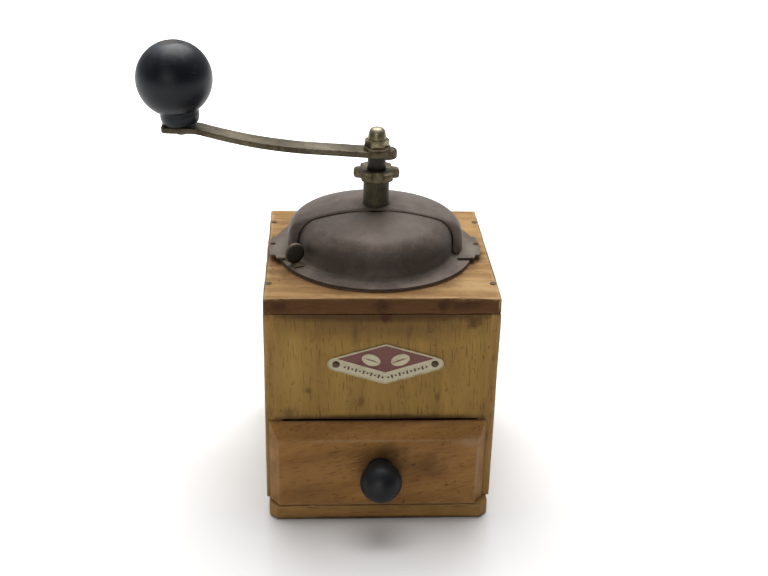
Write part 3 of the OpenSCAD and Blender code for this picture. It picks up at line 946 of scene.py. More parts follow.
class Stand:
    """Puts each finished piece on its body."""

    def __init__(self) -> None:
        """Starts with an empty bench."""
        self.made = 0

    def place(
        self,
        obj: bpy.types.Object,
        material: bpy.types.Material,
        body: str,
        slot: str,
        *nodes: str,
    ) -> None:
        """Dresses a piece and puts it in the frame.

        Args:
            obj: the piece.
            material: its finish.
            body: the CAD body that it moves with.
            slot: the record's material slot; it is not used.
            nodes: the CAD nodes that it stands for.
        """
        obj.data.materials.clear()
        obj.data.materials.append(material)
        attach(obj, body)
        if nodes:
            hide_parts(*nodes)
        self.made += 1
        LOG.info("%s: %d faces on %s", obj.name, len(obj.data.polygons), body)

    @staticmethod
    def dress(material: bpy.types.Material, *nodes: str) -> None:
        """Gives CAD nodes that stay a better material."""
        for name in nodes:
            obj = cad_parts[name]
            for slot in obj.material_slots:
                slot.material = material
            LOG.info("%s keeps its mesh, in %s", name, material.name)


def corners(node: str) -> tuple[list[float], list[float]]:
    """A CAD node's lowest and highest corners, in millimetres."""
    low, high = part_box(node)
    return [c / MM for c in low], [c / MM for c in high]


def metres(box: tuple[Point, Point]) -> tuple[list[float], list[float]]:
    """A pair of corners in metres."""
    return [c * MM for c in box[0]], [c * MM for c in box[1]]


@dataclass
class Case:
    """The wooden case: top board, panels, sides and base."""

    bowl_r: float = 37.0
    axis_x: float = -1.5
    rebate_x: float = 48.6
    mouth: float = 50.6
    round_edge: float = 0.9

    def top_board(self, stand: Stand) -> None:
        """The worn board that carries the head."""
        low, high = corners("top_board")
        board = Bench.block("case_top", low, high)
        middle = (low[2] + high[2]) / 2
        Bench.bevel(board, self.round_edge, 3)
        Bench.grid(board, 4.5)
        Bench.wobble(board, 0.5, 16)
        Bench.join(board, Bench.rod("mouth", (self.axis_x, 0, middle), self.bowl_r, 20, sides=96))
        front, top = low[1], high[2]
        chips = (
            ((34.5, front - 0.3, top + 0.2), (4.6, 1.5, 1.3), (0, 8, 0)),
            ((40.0, front - 0.2, top + 0.3), (3.0, 1.2, 0.9), (0, -10, 0)),
            ((-22.0, front - 0.6, top + 0.3), (5.5, 1.3, 1.0), (0, 0, 4)),
            ((-47.0, front - 0.5, top + 0.2), (3.4, 1.5, 1.2), (0, 0, 0)),
            ((8.0, front - 0.7, top + 0.4), (6.0, 1.3, 1.0), (0, 0, -3)),
            ((high[0] + 0.4, -31.0, top + 0.3), (1.4, 5.0, 1.1), (0, 0, 3)),
            ((low[0] - 0.4, 14.0, top + 0.3), (1.4, 6.0, 1.1), (0, 0, 2)),
            ((high[0] + 0.3, front - 0.2, middle), (2.0, 2.0, 4.2), (0, 0, 0)),
        )
        for centre, reach, turn in chips:
            Bench.join(board, Bench.pebble(centre, reach, turn))
        Bench.clean(board)
        front_dark = (0.066, 0.025, 0.0055)
        smudges = (
            Smudge((0, front, middle), (75, 1.5, 8.0), front_dark, 0.92, 0.75, 0.35),
            Smudge((0, front, middle + 0.5), (6, 2, 5), (0.035, 0.011, 0.004), 0.8, 0.1, 1.2, 420.0),
            Smudge((27, front, middle + 1.0), (4, 2, 5), (0.03, 0.01, 0.004), 0.8, 0.1, 1.2, 420.0),
            Smudge((36, front, middle + 1.0), (12, 2, 4), (0.04, 0.014, 0.005), 0.7, 0.1, 1.2, 300.0),
            Smudge((-46, front, middle), (8, 2, 5), (0.04, 0.014, 0.005), 0.7, 0.1, 1.2, 300.0),
            Smudge((high[0], 0, middle), (1.5, 75, 8), (0.09, 0.042, 0.014), 0.7, 0.7, 0.4),
            Smudge((low[0], 0, middle), (1.5, 75, 8), (0.09, 0.042, 0.014), 0.7, 0.7, 0.4),
            Smudge((0, high[1], middle), (75, 1.5, 8), (0.09, 0.042, 0.014), 0.7, 0.7, 0.4),
            Smudge((-38, -38, top), (20, 14, 3), (0.21, 0.115, 0.045), 0.55, 0.1),
            Smudge((-47, -8, top), (7, 20, 3), (0.19, 0.1, 0.038), 0.6, 0.1),
            Smudge((42, -38, top), (16, 14, 3), (0.48, 0.33, 0.16), 0.4, 0.1),
            Smudge((46, 30, top), (9, 26, 3), (0.44, 0.27, 0.105), 0.5, 0.1, 1.2, 200.0),
            Smudge((45, -4, top), (10, 14, 3), (0.13, 0.068, 0.024), 0.55, 0.1, 1.3, 220.0),
            Smudge((20, -46, top), (26, 8, 3), (0.17, 0.09, 0.032), 0.5, 0.0, 1.3, 260.0),
            Smudge((-20, -47, top), (18, 6, 3), (0.15, 0.08, 0.028), 0.5, 0.0, 1.3, 260.0),
            Smudge((-44, 38, top), (10, 18, 3), (0.17, 0.09, 0.03), 0.5, 0.0, 1.3, 260.0),
            Smudge((-1.5, 0, top), (54, 54, 3), (0.10, 0.05, 0.02), 0.55, 0.86, 0.14),
        )
        finish = Wood(
            "top_board_wood", (0.41, 0.255, 0.105), (0.21, 0.112, 0.038), Axis.X, seed=1.3, spacing=7.0,
            ring=0.3, turn=(0.0, 0.0, 3.0), stain=0.7, stain_tint=(0.1, 0.045, 0.015),
            wear_tint=(0.5, 0.34, 0.17), wear=0.5, nicks=0.9, roughness=0.5, box=metres((low, high)),
            smudges=smudges,
        )
        stand.place(board, finish.make(), "case", "top_wood", "top_board")

    def panels(self, stand: Stand) -> None:
        """The front and back panels between the sides."""
        for node, seed in (("front_panel", 4.1), ("back_panel", 9.7)):
            low, high = corners(node)
            panel = Bench.block("case_" + node, low, high)
            Bench.bevel(panel, 0.35, 2)
            Bench.grid(panel, 7)
            Bench.wobble(panel, 0.22, 24)
            face = low[1] if node == "front_panel" else high[1]
            dents = (
                (-31, 92, 1.2), (-12, 60, 1.0), (30, 66, 0.9),
                (22, 97, 1.3), (36, 88, 0.8), (-40, 70, 0.9),
            )
            for x, z, r in dents:
                Bench.join(panel, Bench.pebble((x, face, z), (r * 0.7, 0.35, r * 1.4), (0, 25, 0)))
            Bench.clean(panel)
            top = high[2]
            smudges = (
                # The first three are painted shade: darker under the top board's edge and along the
                # panel's foot.
                Smudge((0, face, top), (75, 9, 5.0), (0.04, 0.02, 0.007), 0.85, 0.4, 0.4),
                Smudge((0, face, top - 4), (80, 9, 13), (0.085, 0.043, 0.015), 0.6, 0.2, 0.6),
                Smudge((0, face, low[2]), (75, 9, 3.4), (0.03, 0.015, 0.006), 0.85, 0.3, 0.5),
                Smudge((1.5, face, top - 1.5), (3.5, 9, 4), (0.05, 0.012, 0.006), 0.85, 0.2, 1.2, 420.0),
                Smudge((-12, face, top - 9), (2.2, 9, 12), (0.075, 0.036, 0.011), 0.5, 0.0, 0.8, 200.0),
                Smudge((12, face, top - 9), (2.0, 9, 10), (0.09, 0.044, 0.013), 0.5, 0.0, 0.8, 200.0),
                Smudge((41, face, top - 4), (4.5, 9, 5), (0.05, 0.02, 0.008), 0.75, 0.1, 1.3, 350.0),
                Smudge((-40, face, 76), (12, 9, 30), (0.40, 0.25, 0.08), 0.3, 0.0),
                Smudge((-33, face, 66), (2.6, 9, 2.6), (0.06, 0.03, 0.01), 0.6, 0.1, 1.2, 420.0),
                Smudge((-9, face, 60), (2.0, 9, 4), (0.06, 0.027, 0.009), 0.55, 0.1, 1.2, 420.0),
                Smudge((26, face, 62), (2.0, 9, 4), (0.06, 0.027, 0.009), 0.5, 0.1, 1.2, 420.0),
                Smudge((-42, face, 54), (7, 9, 4), (0.06, 0.03, 0.011), 0.5, 0.0, 1.3, 300.0),
            )
            finish = Wood(
                node + "_wood", (0.33, 0.2, 0.052), (0.225, 0.13, 0.034), Axis.Z, seed=seed,
                spacing=9.0, ring=0.2, turn=(2.0, 3.0, 0.0), stain=0.4, stain_tint=(0.06, 0.027, 0.009),
                wear_tint=(0.3, 0.19, 0.09), wear=0.3, nicks=0.75, roughness=0.48,
                box=metres((low, high)), smudges=smudges,
            )
            stand.place(panel, finish.make(), "case", "case_wood", node)

    def sides(self, stand: Stand) -> None:
        """The two side boards, rebated for the panels."""
        for node, sign, seed in (("left_side", -1, 6.2), ("right_side", 1, 12.9)):
            low, high = corners(node)
            side = Bench.block("case_" + node, low, high)
            Bench.bevel(side, 0.8, 3)
            Bench.grid(side, 6)
            Bench.wobble(side, 0.35, 18)
            inner = sorted((sign * 30, sign * self.rebate_x))
            depth = 6.0
            for start, end, foot in (
                (low[1] - 2, low[1] + depth, self.mouth), (high[1] - depth, high[1] + 2, -5),
            ):
                rebate = Bench.block("rebate", (inner[0], start, foot), (inner[1], end, 120))
                Bench.join(side, rebate)
            outer = sign * max(abs(low[0]), abs(high[0]))
            for y, z, r in ((-52.7, 30, 1.5), (-52.7, 62, 1.1), (-52.6, 88, 1.7), (-52.8, 14, 2.2)):
                Bench.join(side, Bench.pebble((outer, y, z), (0.9, 0.7, r * 1.8)))
            for y, z, r in ((-20, 40, 1.6), (12, 80, 1.2), (30, 22, 1.9), (-34, 93, 1.3)):
                Bench.join(side, Bench.pebble((outer, y, z), (0.4, r, r * 1.6), (20, 0, 0)))
            Bench.clean(side)
            smudges = (
                # The first two are painted shade: darker under the top board and along the side's foot.
                Smudge((outer, 0, high[2]), (9, 80, 6), (0.045, 0.022, 0.008), 0.75, 0.3, 0.5),
                Smudge((outer, 0, low[2]), (9, 80, 7), (0.05, 0.026, 0.011), 0.7, 0.1, 0.8),
                Smudge((outer, -46, 35), (9, 16, 22), (0.3, 0.19, 0.09), 0.35, 0.0),
            )
            finish = Wood(
                node + "_wood", (0.37, 0.215, 0.065), (0.2, 0.108, 0.03), Axis.Z, seed=seed,
                spacing=8.0, ring=0.34, turn=(3.0, -2.0, 0.0), stain=0.5,
                stain_tint=(0.075, 0.035, 0.012), wear_tint=(0.4, 0.26, 0.12), wear=0.35, nicks=0.75,
                roughness=0.5, box=metres((low, high)), smudges=smudges,
            )
            stand.place(side, finish.make(), "case", "case_wood", node)

    def base(self, stand: Stand) -> None:
        """The base board under the drawer."""
        low, high = corners("base_board")
        board = Bench.block("case_base", low, high)
        chamfer = 3.7
        for sign in (-1, 1):
            Bench.slice(board, (sign * high[0], low[1] + chamfer, 0), (sign, -1, 0))
        Bench.bevel(board, 0.6, 3)
        Bench.grid(board, 6)
        Bench.wobble(board, 0.3, 15)
        for x, r in ((-31, 2.4), (12, 1.8), (39, 3.0)):
            Bench.join(board, Bench.pebble((x, low[1] - 0.3, high[2] - 0.4), (r * 1.6, 1.0, 1.0)))
        Bench.clean(board)
        smudges = (
            # Both are painted shade: darker along the board's lower front edge and on its underside,
            # where it meets the floor.
            Smudge((0, low[1], low[2]), (80, 6, 2.2), (0.025, 0.012, 0.005), 0.8, 0.3, 0.5),
            Smudge((0, 0, low[2]), (80, 80, 1.2), (0.11, 0.065, 0.03), 0.6, 0.5, 0.5),
        )
        finish = Wood(
            "base_board_wood", (0.42, 0.235, 0.075), (0.24, 0.125, 0.037), Axis.X, seed=15.4,
            spacing=7.0, ring=0.3, turn=(0.0, 0.0, 2.0), stain=0.5, stain_tint=(0.045, 0.02, 0.008),
            wear_tint=(0.3, 0.19, 0.09), wear=0.5, nicks=0.7, roughness=0.52, box=metres((low, high)),
            smudges=smudges,
        )
        stand.place(board, finish.make(), "case", "case_wood", "base_board")

    def fixings(self, stand: Stand) -> None:
        """Nails and screws, which keep their CAD meshes."""
        rust = Metal(
            "rusty_nail", (0.075, 0.048, 0.028), (0.12, 0.075, 0.04), (0.16, 0.075, 0.03), specks=0.6,
            speck_scale=1100.0, metallic=0.55, roughness=0.6, mottle=260.0, seed=2.0,
        ).make()
        stand.dress(rust, "board_nails", "base_screws", "badge_nails", "hood_nails", "tray_nails")


@dataclass
class Badge:
    """The enamelled diamond badge: plate, red field, rows of plain marks and two coffee beans."""

    x: float = 1.8
    width: float = 52.8
    height: float = 20.5
    end_r: float = 3.2
    nail_inset: float = 4.0
    field_x: float = 21.9
    field_side: float = 2.75
    field_top: float = 9.3
    field_low: float = -4.3
    bean_x: float = 6.6
    bean_up: float = 2.2
    bean_turn: float = 20.0
    strip_slope: float = 0.312
    strip_z: float = -7.15
    marks: int = 11
    mark_start: float = 1.3
    mark_pitch: float = 1.72

    def outline(self, inset: float) -> list[tuple[float, float]]:
        """The diamond's outline.

        Args:
            inset: how far it is pulled in.

        Returns:
            (x, z) points about the badge's middle, in order.
        """
        end = self.end_r - inset
        reach = self.width / 2 - self.end_r
        rise = self.height / 2 - 1
        lean = math.degrees(math.atan2(reach, rise))
        points = arc((reach, 0), end, -lean, lean, 8)
        above = arc((0, rise), 1.0, lean, 180 - lean, 4)
        below = arc((0, -rise), 1.0, 180 + lean, 360 - lean, 4)
        if inset >= 0.5:
            corner = rise + 1 - inset * 1.08
            above, below = [(0, corner)], [(0, -corner)]
        return [*points, *above, *arc((-reach, 0), end, 180 - lean, 180 + lean, 8), *below]

    def field_outline(self) -> list[tuple[float, float]]:
        """The red field: the diamond without the strip along its two lower edges."""
        side = self.field_side
        return [(self.field_x, side), (0, self.field_top), (-self.field_x, side), (0, self.field_low)]

    def build(self, stand: Stand) -> None:
        """Builds the badge's plate, rim, field, beans and marks."""
        low, high = corners("badge")
        back, face = high[1], low[1]
        middle = (low[2] + high[2]) / 2

        def moved(points: Sequence[Point]) -> list[tuple[float, float]]:
            """The points about the badge's middle, moved to its place."""
            return [(x + self.x, z + middle) for x, z in points]

        plate = Bench.prism("badge_plate", moved(self.outline(0)), back, face + 0.12, Axis.Y)
        Bench.bevel(plate, 0.14, 2)
        rim = Bench.prism("badge_rim", moved(self.outline(0)), face + 0.2, face, Axis.Y)
        Bench.join(rim, Bench.prism("inside", moved(self.outline(0.5)), face + 1, face - 1, Axis.Y))
        for sign in (-1, 1):
            hole_x = self.x + sign * (self.width / 2 - self.nail_inset)
            Bench.join(rim, Bench.rod("hole", (hole_x, face, middle), 1.9, 3, (90, 0, 0)))
        Bench.clean(plate)
        Bench.clean(rim)
        cream = Enamel(
            "badge_cream", (0.47, 0.41, 0.27), (0.16, 0.12, 0.07), roughness=0.38, seed=3.0,
        ).make()
        stand.place(plate, cream, "case", "badge_enamel", "badge")
        brass = Metal(
            "badge_rim_brass", (0.42, 0.36, 0.22), (0.27, 0.22, 0.13), (0.07, 0.045, 0.025), specks=0.5,
            speck_scale=1400.0, metallic=0.7, roughness=0.42, mottle=200.0, seed=1.0,
        ).make()
        stand.place(rim, brass, "case", "badge_enamel")
        field = Bench.prism("badge_field", moved(self.field_outline()), face + 0.16, face + 0.04, Axis.Y)
        Bench.bevel(field, 0.05, 1)
        Bench.clean(field)
        red = Enamel(
            "badge_red", (0.125, 0.026, 0.017), (0.045, 0.018, 0.012), roughness=0.3, seed=5.0,
        ).make()
        stand.place(field, red, "case", "badge_enamel")
        self.beans(stand, cream, face, middle)
        self.rows(stand, face, middle)

    def beans(self, stand: Stand, cream: bpy.types.Material, face: float, middle: float) -> None:
        """Two plain coffee beans on the field."""
        for index, sign in enumerate((-1, 1)):
            x, z = self.x + sign * self.bean_x, middle + self.bean_up
            turn = (0, -sign * self.bean_turn, 0)
            bean = Bench.pebble((x, face - 0.05, z), (4.4, 0.26, 2.9), turn)
            bean.name = f"badge_bean_{index + 1}"
            Bench.join(bean, Bench.pebble((x, face - 0.3, z), (4.9, 0.4, 0.36), turn))
            Bench.clean(bean)
            stand.place(bean, cream, "case", "badge_enamel")

    def rows(self, stand: Stand, face: float, middle: float) -> None:
        """A row of small upright marks along each lower edge, long and short by turns."""
        ink = Enamel(
            "badge_ink", (0.035, 0.022, 0.015), (0.09, 0.07, 0.045), roughness=0.4, seed=7.0,
        ).make()
        lean = math.atan(self.strip_slope)
        marks = []
        for side in (-1, 1):
            for i in range(self.marks):
                across = self.mark_start + i * self.mark_pitch
                height = 1.7 if i % 2 else 0.8
                up = self.strip_z + across * self.strip_slope
                centre = (self.x + side * across, face - 0.15, middle + up)
                Bench.pick()
                bpy.ops.mesh.primitive_cube_add(
                    size=1,
                    location=[c * MM for c in centre],
                    scale=(0.75 * MM, 0.12 * MM, height * MM),
                    rotation=(0, -side * lean, 0),
                )
                mark = Bench.settle("badge_mark")
                Bench.bevel(mark, 0.05, 1)
                marks.append(mark)
        Bench.pick(marks[0])
        for mark in marks:
            mark.select_set(True)
        bpy.ops.object.join()
        marks[0].name = "badge_marks"
        Bench.clean(marks[0])
        stand.place(marks[0], ink, "case", "badge_enamel")


@dataclass
class Head:
    """The steel head: hood, lid, finger tab and bearing bush."""

    axis_x: float = -1.5
    deck: float = 112.0
    sheet: float = 0.8
    hood: Dome = Dome(41.5, 9.7, 9.3, 25.0)
    lid: Dome = Dome(36.9, 9.2, 10.2, 23.7)
    clear: Dome = Dome(37.4, 9.2, 10.7, 24.0)
    rim_r: float = 48.4
    lid_rim_r: float = 46.4
    hood_front: float = -8.0
    lip_r: float = 3.6
    ear_front: float = -14.5
    bush_r: float = 6.1
    bush_bore: float = 4.35
    flange_low: float = 2.2
    flange_top: float = 3.0
    lug_r: float = 50.4
    lug_half: float = 11.0
    skirt_r: float = 47.6
    opening_r: float = 40.8
    tab_turn: float = 207.0
    tab_r: float = 5.0
    tab_out: float = 42.45

    def disc(self, name: str, radius: float, low: float, high: float) -> bpy.types.Object:
        """A flat disc round the spindle, between two heights above the deck."""
        outline = [(0, low), (radius, low), (radius, high), (0, high)]
        return Bench.turned(name, outline, (self.axis_x, 0, self.deck))

    def steel(self, name: str, seed: float, smudges: tuple[Smudge, ...]) -> bpy.types.Material:
        """The head's dark speckled steel, with its own dirt, and on the lid painted shade."""
        return Metal(
            name, (0.075, 0.056, 0.047), (0.125, 0.1, 0.083), (0.22, 0.15, 0.1), specks=0.4,
            speck_scale=1100.0, metallic=0.15, roughness=0.5, mottle=70.0, seed=seed, depth=0.0002,
            smudges=smudges, gloss=0.22,
        ).make()

    def half_dome(self, name: str, dome: Dome, front: float, radius: float) -> bpy.types.Object:
        """A dome cut off at the front, with the edge of the cut rounded.

        Args:
            name: the piece's name.
            dome: its outline.
            front: where the cut face is.
            radius: the rounding of the cut's edge.

        Returns:
            A full solid that runs on below the deck by the radius.
        """
        half = dome.solid(name, self.axis_x, self.deck, -radius)
        start = front + radius
        Bench.slice(half, (0, start, 0), (0, -1, 0))
        Bench.choose_faces(half, lambda normal: normal.y < -0.999)
        steps = 7
        for i in range(steps):
            before = math.radians(90 * i / steps)
            after = math.radians(90 * (i + 1) / steps)
            bpy.ops.mesh.inset(
                thickness=radius * (math.cos(before) - math.cos(after)) * MM,
                depth=radius * (math.sin(after) - math.sin(before)) * MM,
            )
        bpy.ops.mesh.select_mode(type="VERT")
        bpy.ops.object.mode_set(mode="OBJECT")
        return half

    def build_hood(self, stand: Stand) -> None:
        """The half dome with its flange, ears and narrow front plate."""
        x, deck = self.axis_x, self.deck
        hood = self.half_dome("hood_shell", self.hood, self.hood_front, self.lip_r)
        smaller = self.hood.thinner(self.sheet)
        inside = self.half_dome("inside", smaller, self.hood_front + self.sheet, self.lip_r - self.sheet)
        Bench.join(hood, inside)
        Bench.slice(hood, (x, 0, deck + 2.3), (0, 0, -1))
        flange = self.disc("flange", self.rim_r, self.flange_low, self.flange_top)
        lugs = self.disc("lugs", self.lug_r, self.flange_low, self.flange_top)
        band = Bench.block("band", (-60, -self.lug_half, deck), (60, self.lug_half, deck + 5))
        Bench.join(lugs, band, Join.KEEP)
        Bench.join(flange, lugs, Join.ADD)
        foot = 0.02
        wall = [(self.skirt_r, foot), (self.rim_r, foot), (self.rim_r, 2.6), (self.skirt_r, 2.6)]
        skirt = Bench.turned("skirt", [*wall, wall[0]], (x, 0, deck))
        Bench.slice(skirt, (0, 6.0, 0), (0, -1, 0))
        Bench.join(flange, skirt, Join.ADD)
        Bench.slice(flange, (0, self.ear_front, 0), (0, -1, 0))
        Bench.join(flange, Bench.rod("hole", (x, 0, deck + 3), self.opening_r, 10, sides=96))
        Bench.join(hood, flange, Join.ADD)
        Bench.join(hood, self.clear.solid("clearance", x, deck, 0.0))
        room = [(0, 0), (39.0, 0), (39.0, self.flange_low), (self.clear.radius, 4.0), (0, 4.0)]
        Bench.join(hood, Bench.turned("clearance", room, (x, 0, deck)))
        Bench.join(hood, Bench.rod("bore", (x, 0, deck + 20), self.bush_r, 30, sides=96))
        Bench.clean(hood, 8e-6, 28.0)
        dirt = (0.19, 0.165, 0.125)
        smudges = (
            Smudge((x, 0, deck + 3.0), (53, 53, 3.0), dirt, 0.5, 0.55, 0.5, 260.0),
            Smudge((x - 46, -6, deck + 3), (8, 12, 4), (0.21, 0.18, 0.14), 0.55, 0.0),
            Smudge((x + 46, -6, deck + 3), (8, 12, 4), (0.21, 0.18, 0.14), 0.5, 0.0),
            Smudge((x, 4, deck + 25), (14, 14, 5), (0.035, 0.024, 0.02), 0.6, 0.2),
        )
        stand.place(hood, self.steel("hood_steel", 2.7, smudges), "case", "hood_steel", "hood")

    def build_lid(self, stand: Stand) -> None:
        """The quarter dome that turns under the hood, on its flat rim."""
        x, deck = self.axis_x, self.deck
        inner = self.lid.thinner(self.sheet).outline(1.0)
        outer = self.lid.outline(3.4)
        fillet = arc((38.5, 3.4), 1.6, 270, 180, 5)
        rim = [(self.lid_rim_r, 1.0), (self.lid_rim_r, 1.8), *fillet[:-1]]
        outline = [*rim, *outer, *reversed(inner), (self.lid_rim_r, 1.0)]
        lid = Bench.turned("lid_shell", outline, (x, 0, deck))
        Bench.join(lid, Bench.block("behind", (-60, -1.5, deck + 1.8), (60, 60, deck + 60)))
        Bench.join(lid, Bench.rod("notch", (x, 0, deck + 21.4), 8.2, 20, sides=64))
        Bench.clean(lid, 8e-6, 28.0)
        dirt = (0.15, 0.13, 0.1)
        smudges = (
            # The first is painted shade: it darkens the lid's front wall to near black.
            Smudge((x, 0, deck + 9.5), (60, 60, 8.5), (0.014, 0.009, 0.007), 0.85, 0.35, 0.15),
            Smudge((x, -2, deck + 1.8), (44, 44, 5.5), dirt, 0.62, 0.5, 0.55, 300.0),
            Smudge((x - 31, -22, deck + 3), (13, 13, 6), (0.2, 0.175, 0.13), 0.5, 0.0, 0.9, 300.0),
            Smudge((x + 38, -8, deck + 3), (9, 16, 6), (0.21, 0.185, 0.14), 0.5, 0.0, 0.9, 300.0),
            Smudge((x, -14, deck + 24), (36, 22, 7), (0.15, 0.125, 0.1), 0.4, 0.0),
        )
        stand.place(lid, self.steel("lid_steel", 5.9, smudges), "lid", "hood_steel", "lid")

    def build_tab(self, stand: Stand) -> None:
        """The cupped finger tab that turns the lid."""
        low, high = corners("finger_tab")
        angle = math.radians(self.tab_turn)
        across, along = self.tab_out * math.cos(angle), self.tab_out * math.sin(angle)
        centre = (self.axis_x + across, along, high[2] - self.tab_r)
        hollow_side = [(0, 0.75), (2.6, 0.65), (3.7, 0.25), (4.25, -0.45), (4.6, -0.8), (4.9, -0.8)]
        cup = [*hollow_side, (self.tab_r, -0.5), (4.8, 0.2), (4.2, 0.8), (3.0, 1.15), (0, 1.25)]
        tab = Bench.turned("lid_tab", cup, centre, Axis.Y, 48)
        Bench.swing(tab, -(angle - math.pi), Axis.Z, centre)
        foot_start, foot_end, foot_width = 40.05, 44.65, 4.6
        foot = Bench.block("foot", (foot_start, 0.0, low[2]), (foot_end, foot_width, low[2] + self.sheet))
        Bench.swing(foot, -angle, Axis.Z, (0, 0, 0), (self.axis_x, 0, 0))
        Bench.join(tab, foot, Join.ADD)
        Bench.clean(tab)
        # The hollow of the cup is darkened to near black: painted shade.
        hollow_shade = Smudge(centre, (4.9, 4.9, 4.9), (0.013, 0.01, 0.008), 0.9, 0.86, 0.2)
        skin = Metal(
            "tab_steel", (0.1, 0.082, 0.055), (0.15, 0.12, 0.075), (0.2, 0.15, 0.1), specks=0.35,
            speck_scale=1100.0, metallic=0.3, roughness=0.5, mottle=160.0, seed=3.3, smudges=(hollow_shade,),
            gloss=0.25,
        )
        stand.place(tab, skin.make(), "lid", "hood_steel", "finger_tab")
        stand.dress(skin.make(), "tab_rivet")

    def build_bush(self, stand: Stand) -> None:
        """The bearing bush on the hood's top, with the faint rings that use has worn round it."""
        top = corners("bearing_bush")[1][2] - self.deck
        bore, outer = self.bush_bore, self.bush_r
        rings = []
        height = 27.4
        while height < top - 1.2:
            rings += [(outer - 0.01, height), (outer - 0.09, height + 0.45), (outer - 0.01, height + 0.9)]
            height += 1.4
        outline = [
            (bore, 22.5), (outer + 0.8, 22.5), (outer + 0.8, 23.7), (outer, 23.7), (outer, 25.0),
            (outer + 0.3, 25.1), (outer + 0.25, 25.5), (outer, 25.8), *rings,
            (outer, top - 0.4), (outer - 0.4, top), (bore, top), (bore, 22.5),
        ]
        bush = Bench.turned("bush", outline, (self.axis_x, 0, self.deck), steps=72)
        Bench.clean(bush, 2e-6, 24.0)
        skin = Metal(
            "bush_brass", (0.028, 0.023, 0.012), (0.062, 0.052, 0.026), (0.012, 0.008, 0.005),
            specks=0.6, speck_scale=800.0, metallic=0.5, roughness=0.5, mottle=150.0, seed=4.4,
            gloss=0.25,
        )
        stand.place(bush, skin.make(), "case", "aged_brass", "bearing_bush")


@dataclass
class Mill:
    """What grinds, inside the case. It is seen with the lid or the drawer open."""

    def dress(self, stand: Stand) -> None:
        """Gives the inner pieces their finishes."""
        bowl = Metal(
            "bowl_steel", (0.16, 0.125, 0.1), (0.23, 0.18, 0.14), (0.1, 0.05, 0.025), specks=0.6,
            speck_scale=700.0, metallic=0.6, roughness=0.42, mottle=60.0, seed=1.7,
        ).make()
        burr = Metal(
            "burr_iron", (0.12, 0.11, 0.1), (0.19, 0.175, 0.155), (0.11, 0.06, 0.035), specks=0.5,
            speck_scale=900.0, metallic=0.85, roughness=0.4, mottle=120.0, seed=2.9,
        ).make()
        iron = Metal(
            "bridge_iron", (0.075, 0.068, 0.062), (0.12, 0.105, 0.09), (0.14, 0.07, 0.035), specks=0.5,
            speck_scale=800.0, metallic=0.7, roughness=0.5, mottle=90.0, seed=6.1,
        ).make()
        screw = Metal(
            "screw_steel", (0.3, 0.285, 0.26), (0.2, 0.185, 0.165), (0.11, 0.07, 0.045), specks=0.45,
            speck_scale=1200.0, metallic=0.9, roughness=0.38, mottle=200.0, seed=7.7,
        ).make()
        stand.dress(bowl, "hopper_bowl")
        stand.dress(burr, "fixed_burr", "turning_burr")
        stand.dress(iron, "bridge")
        stand.dress(screw, "bridge_screws", "bridge_nuts", "burr_nut", "knob_screw")


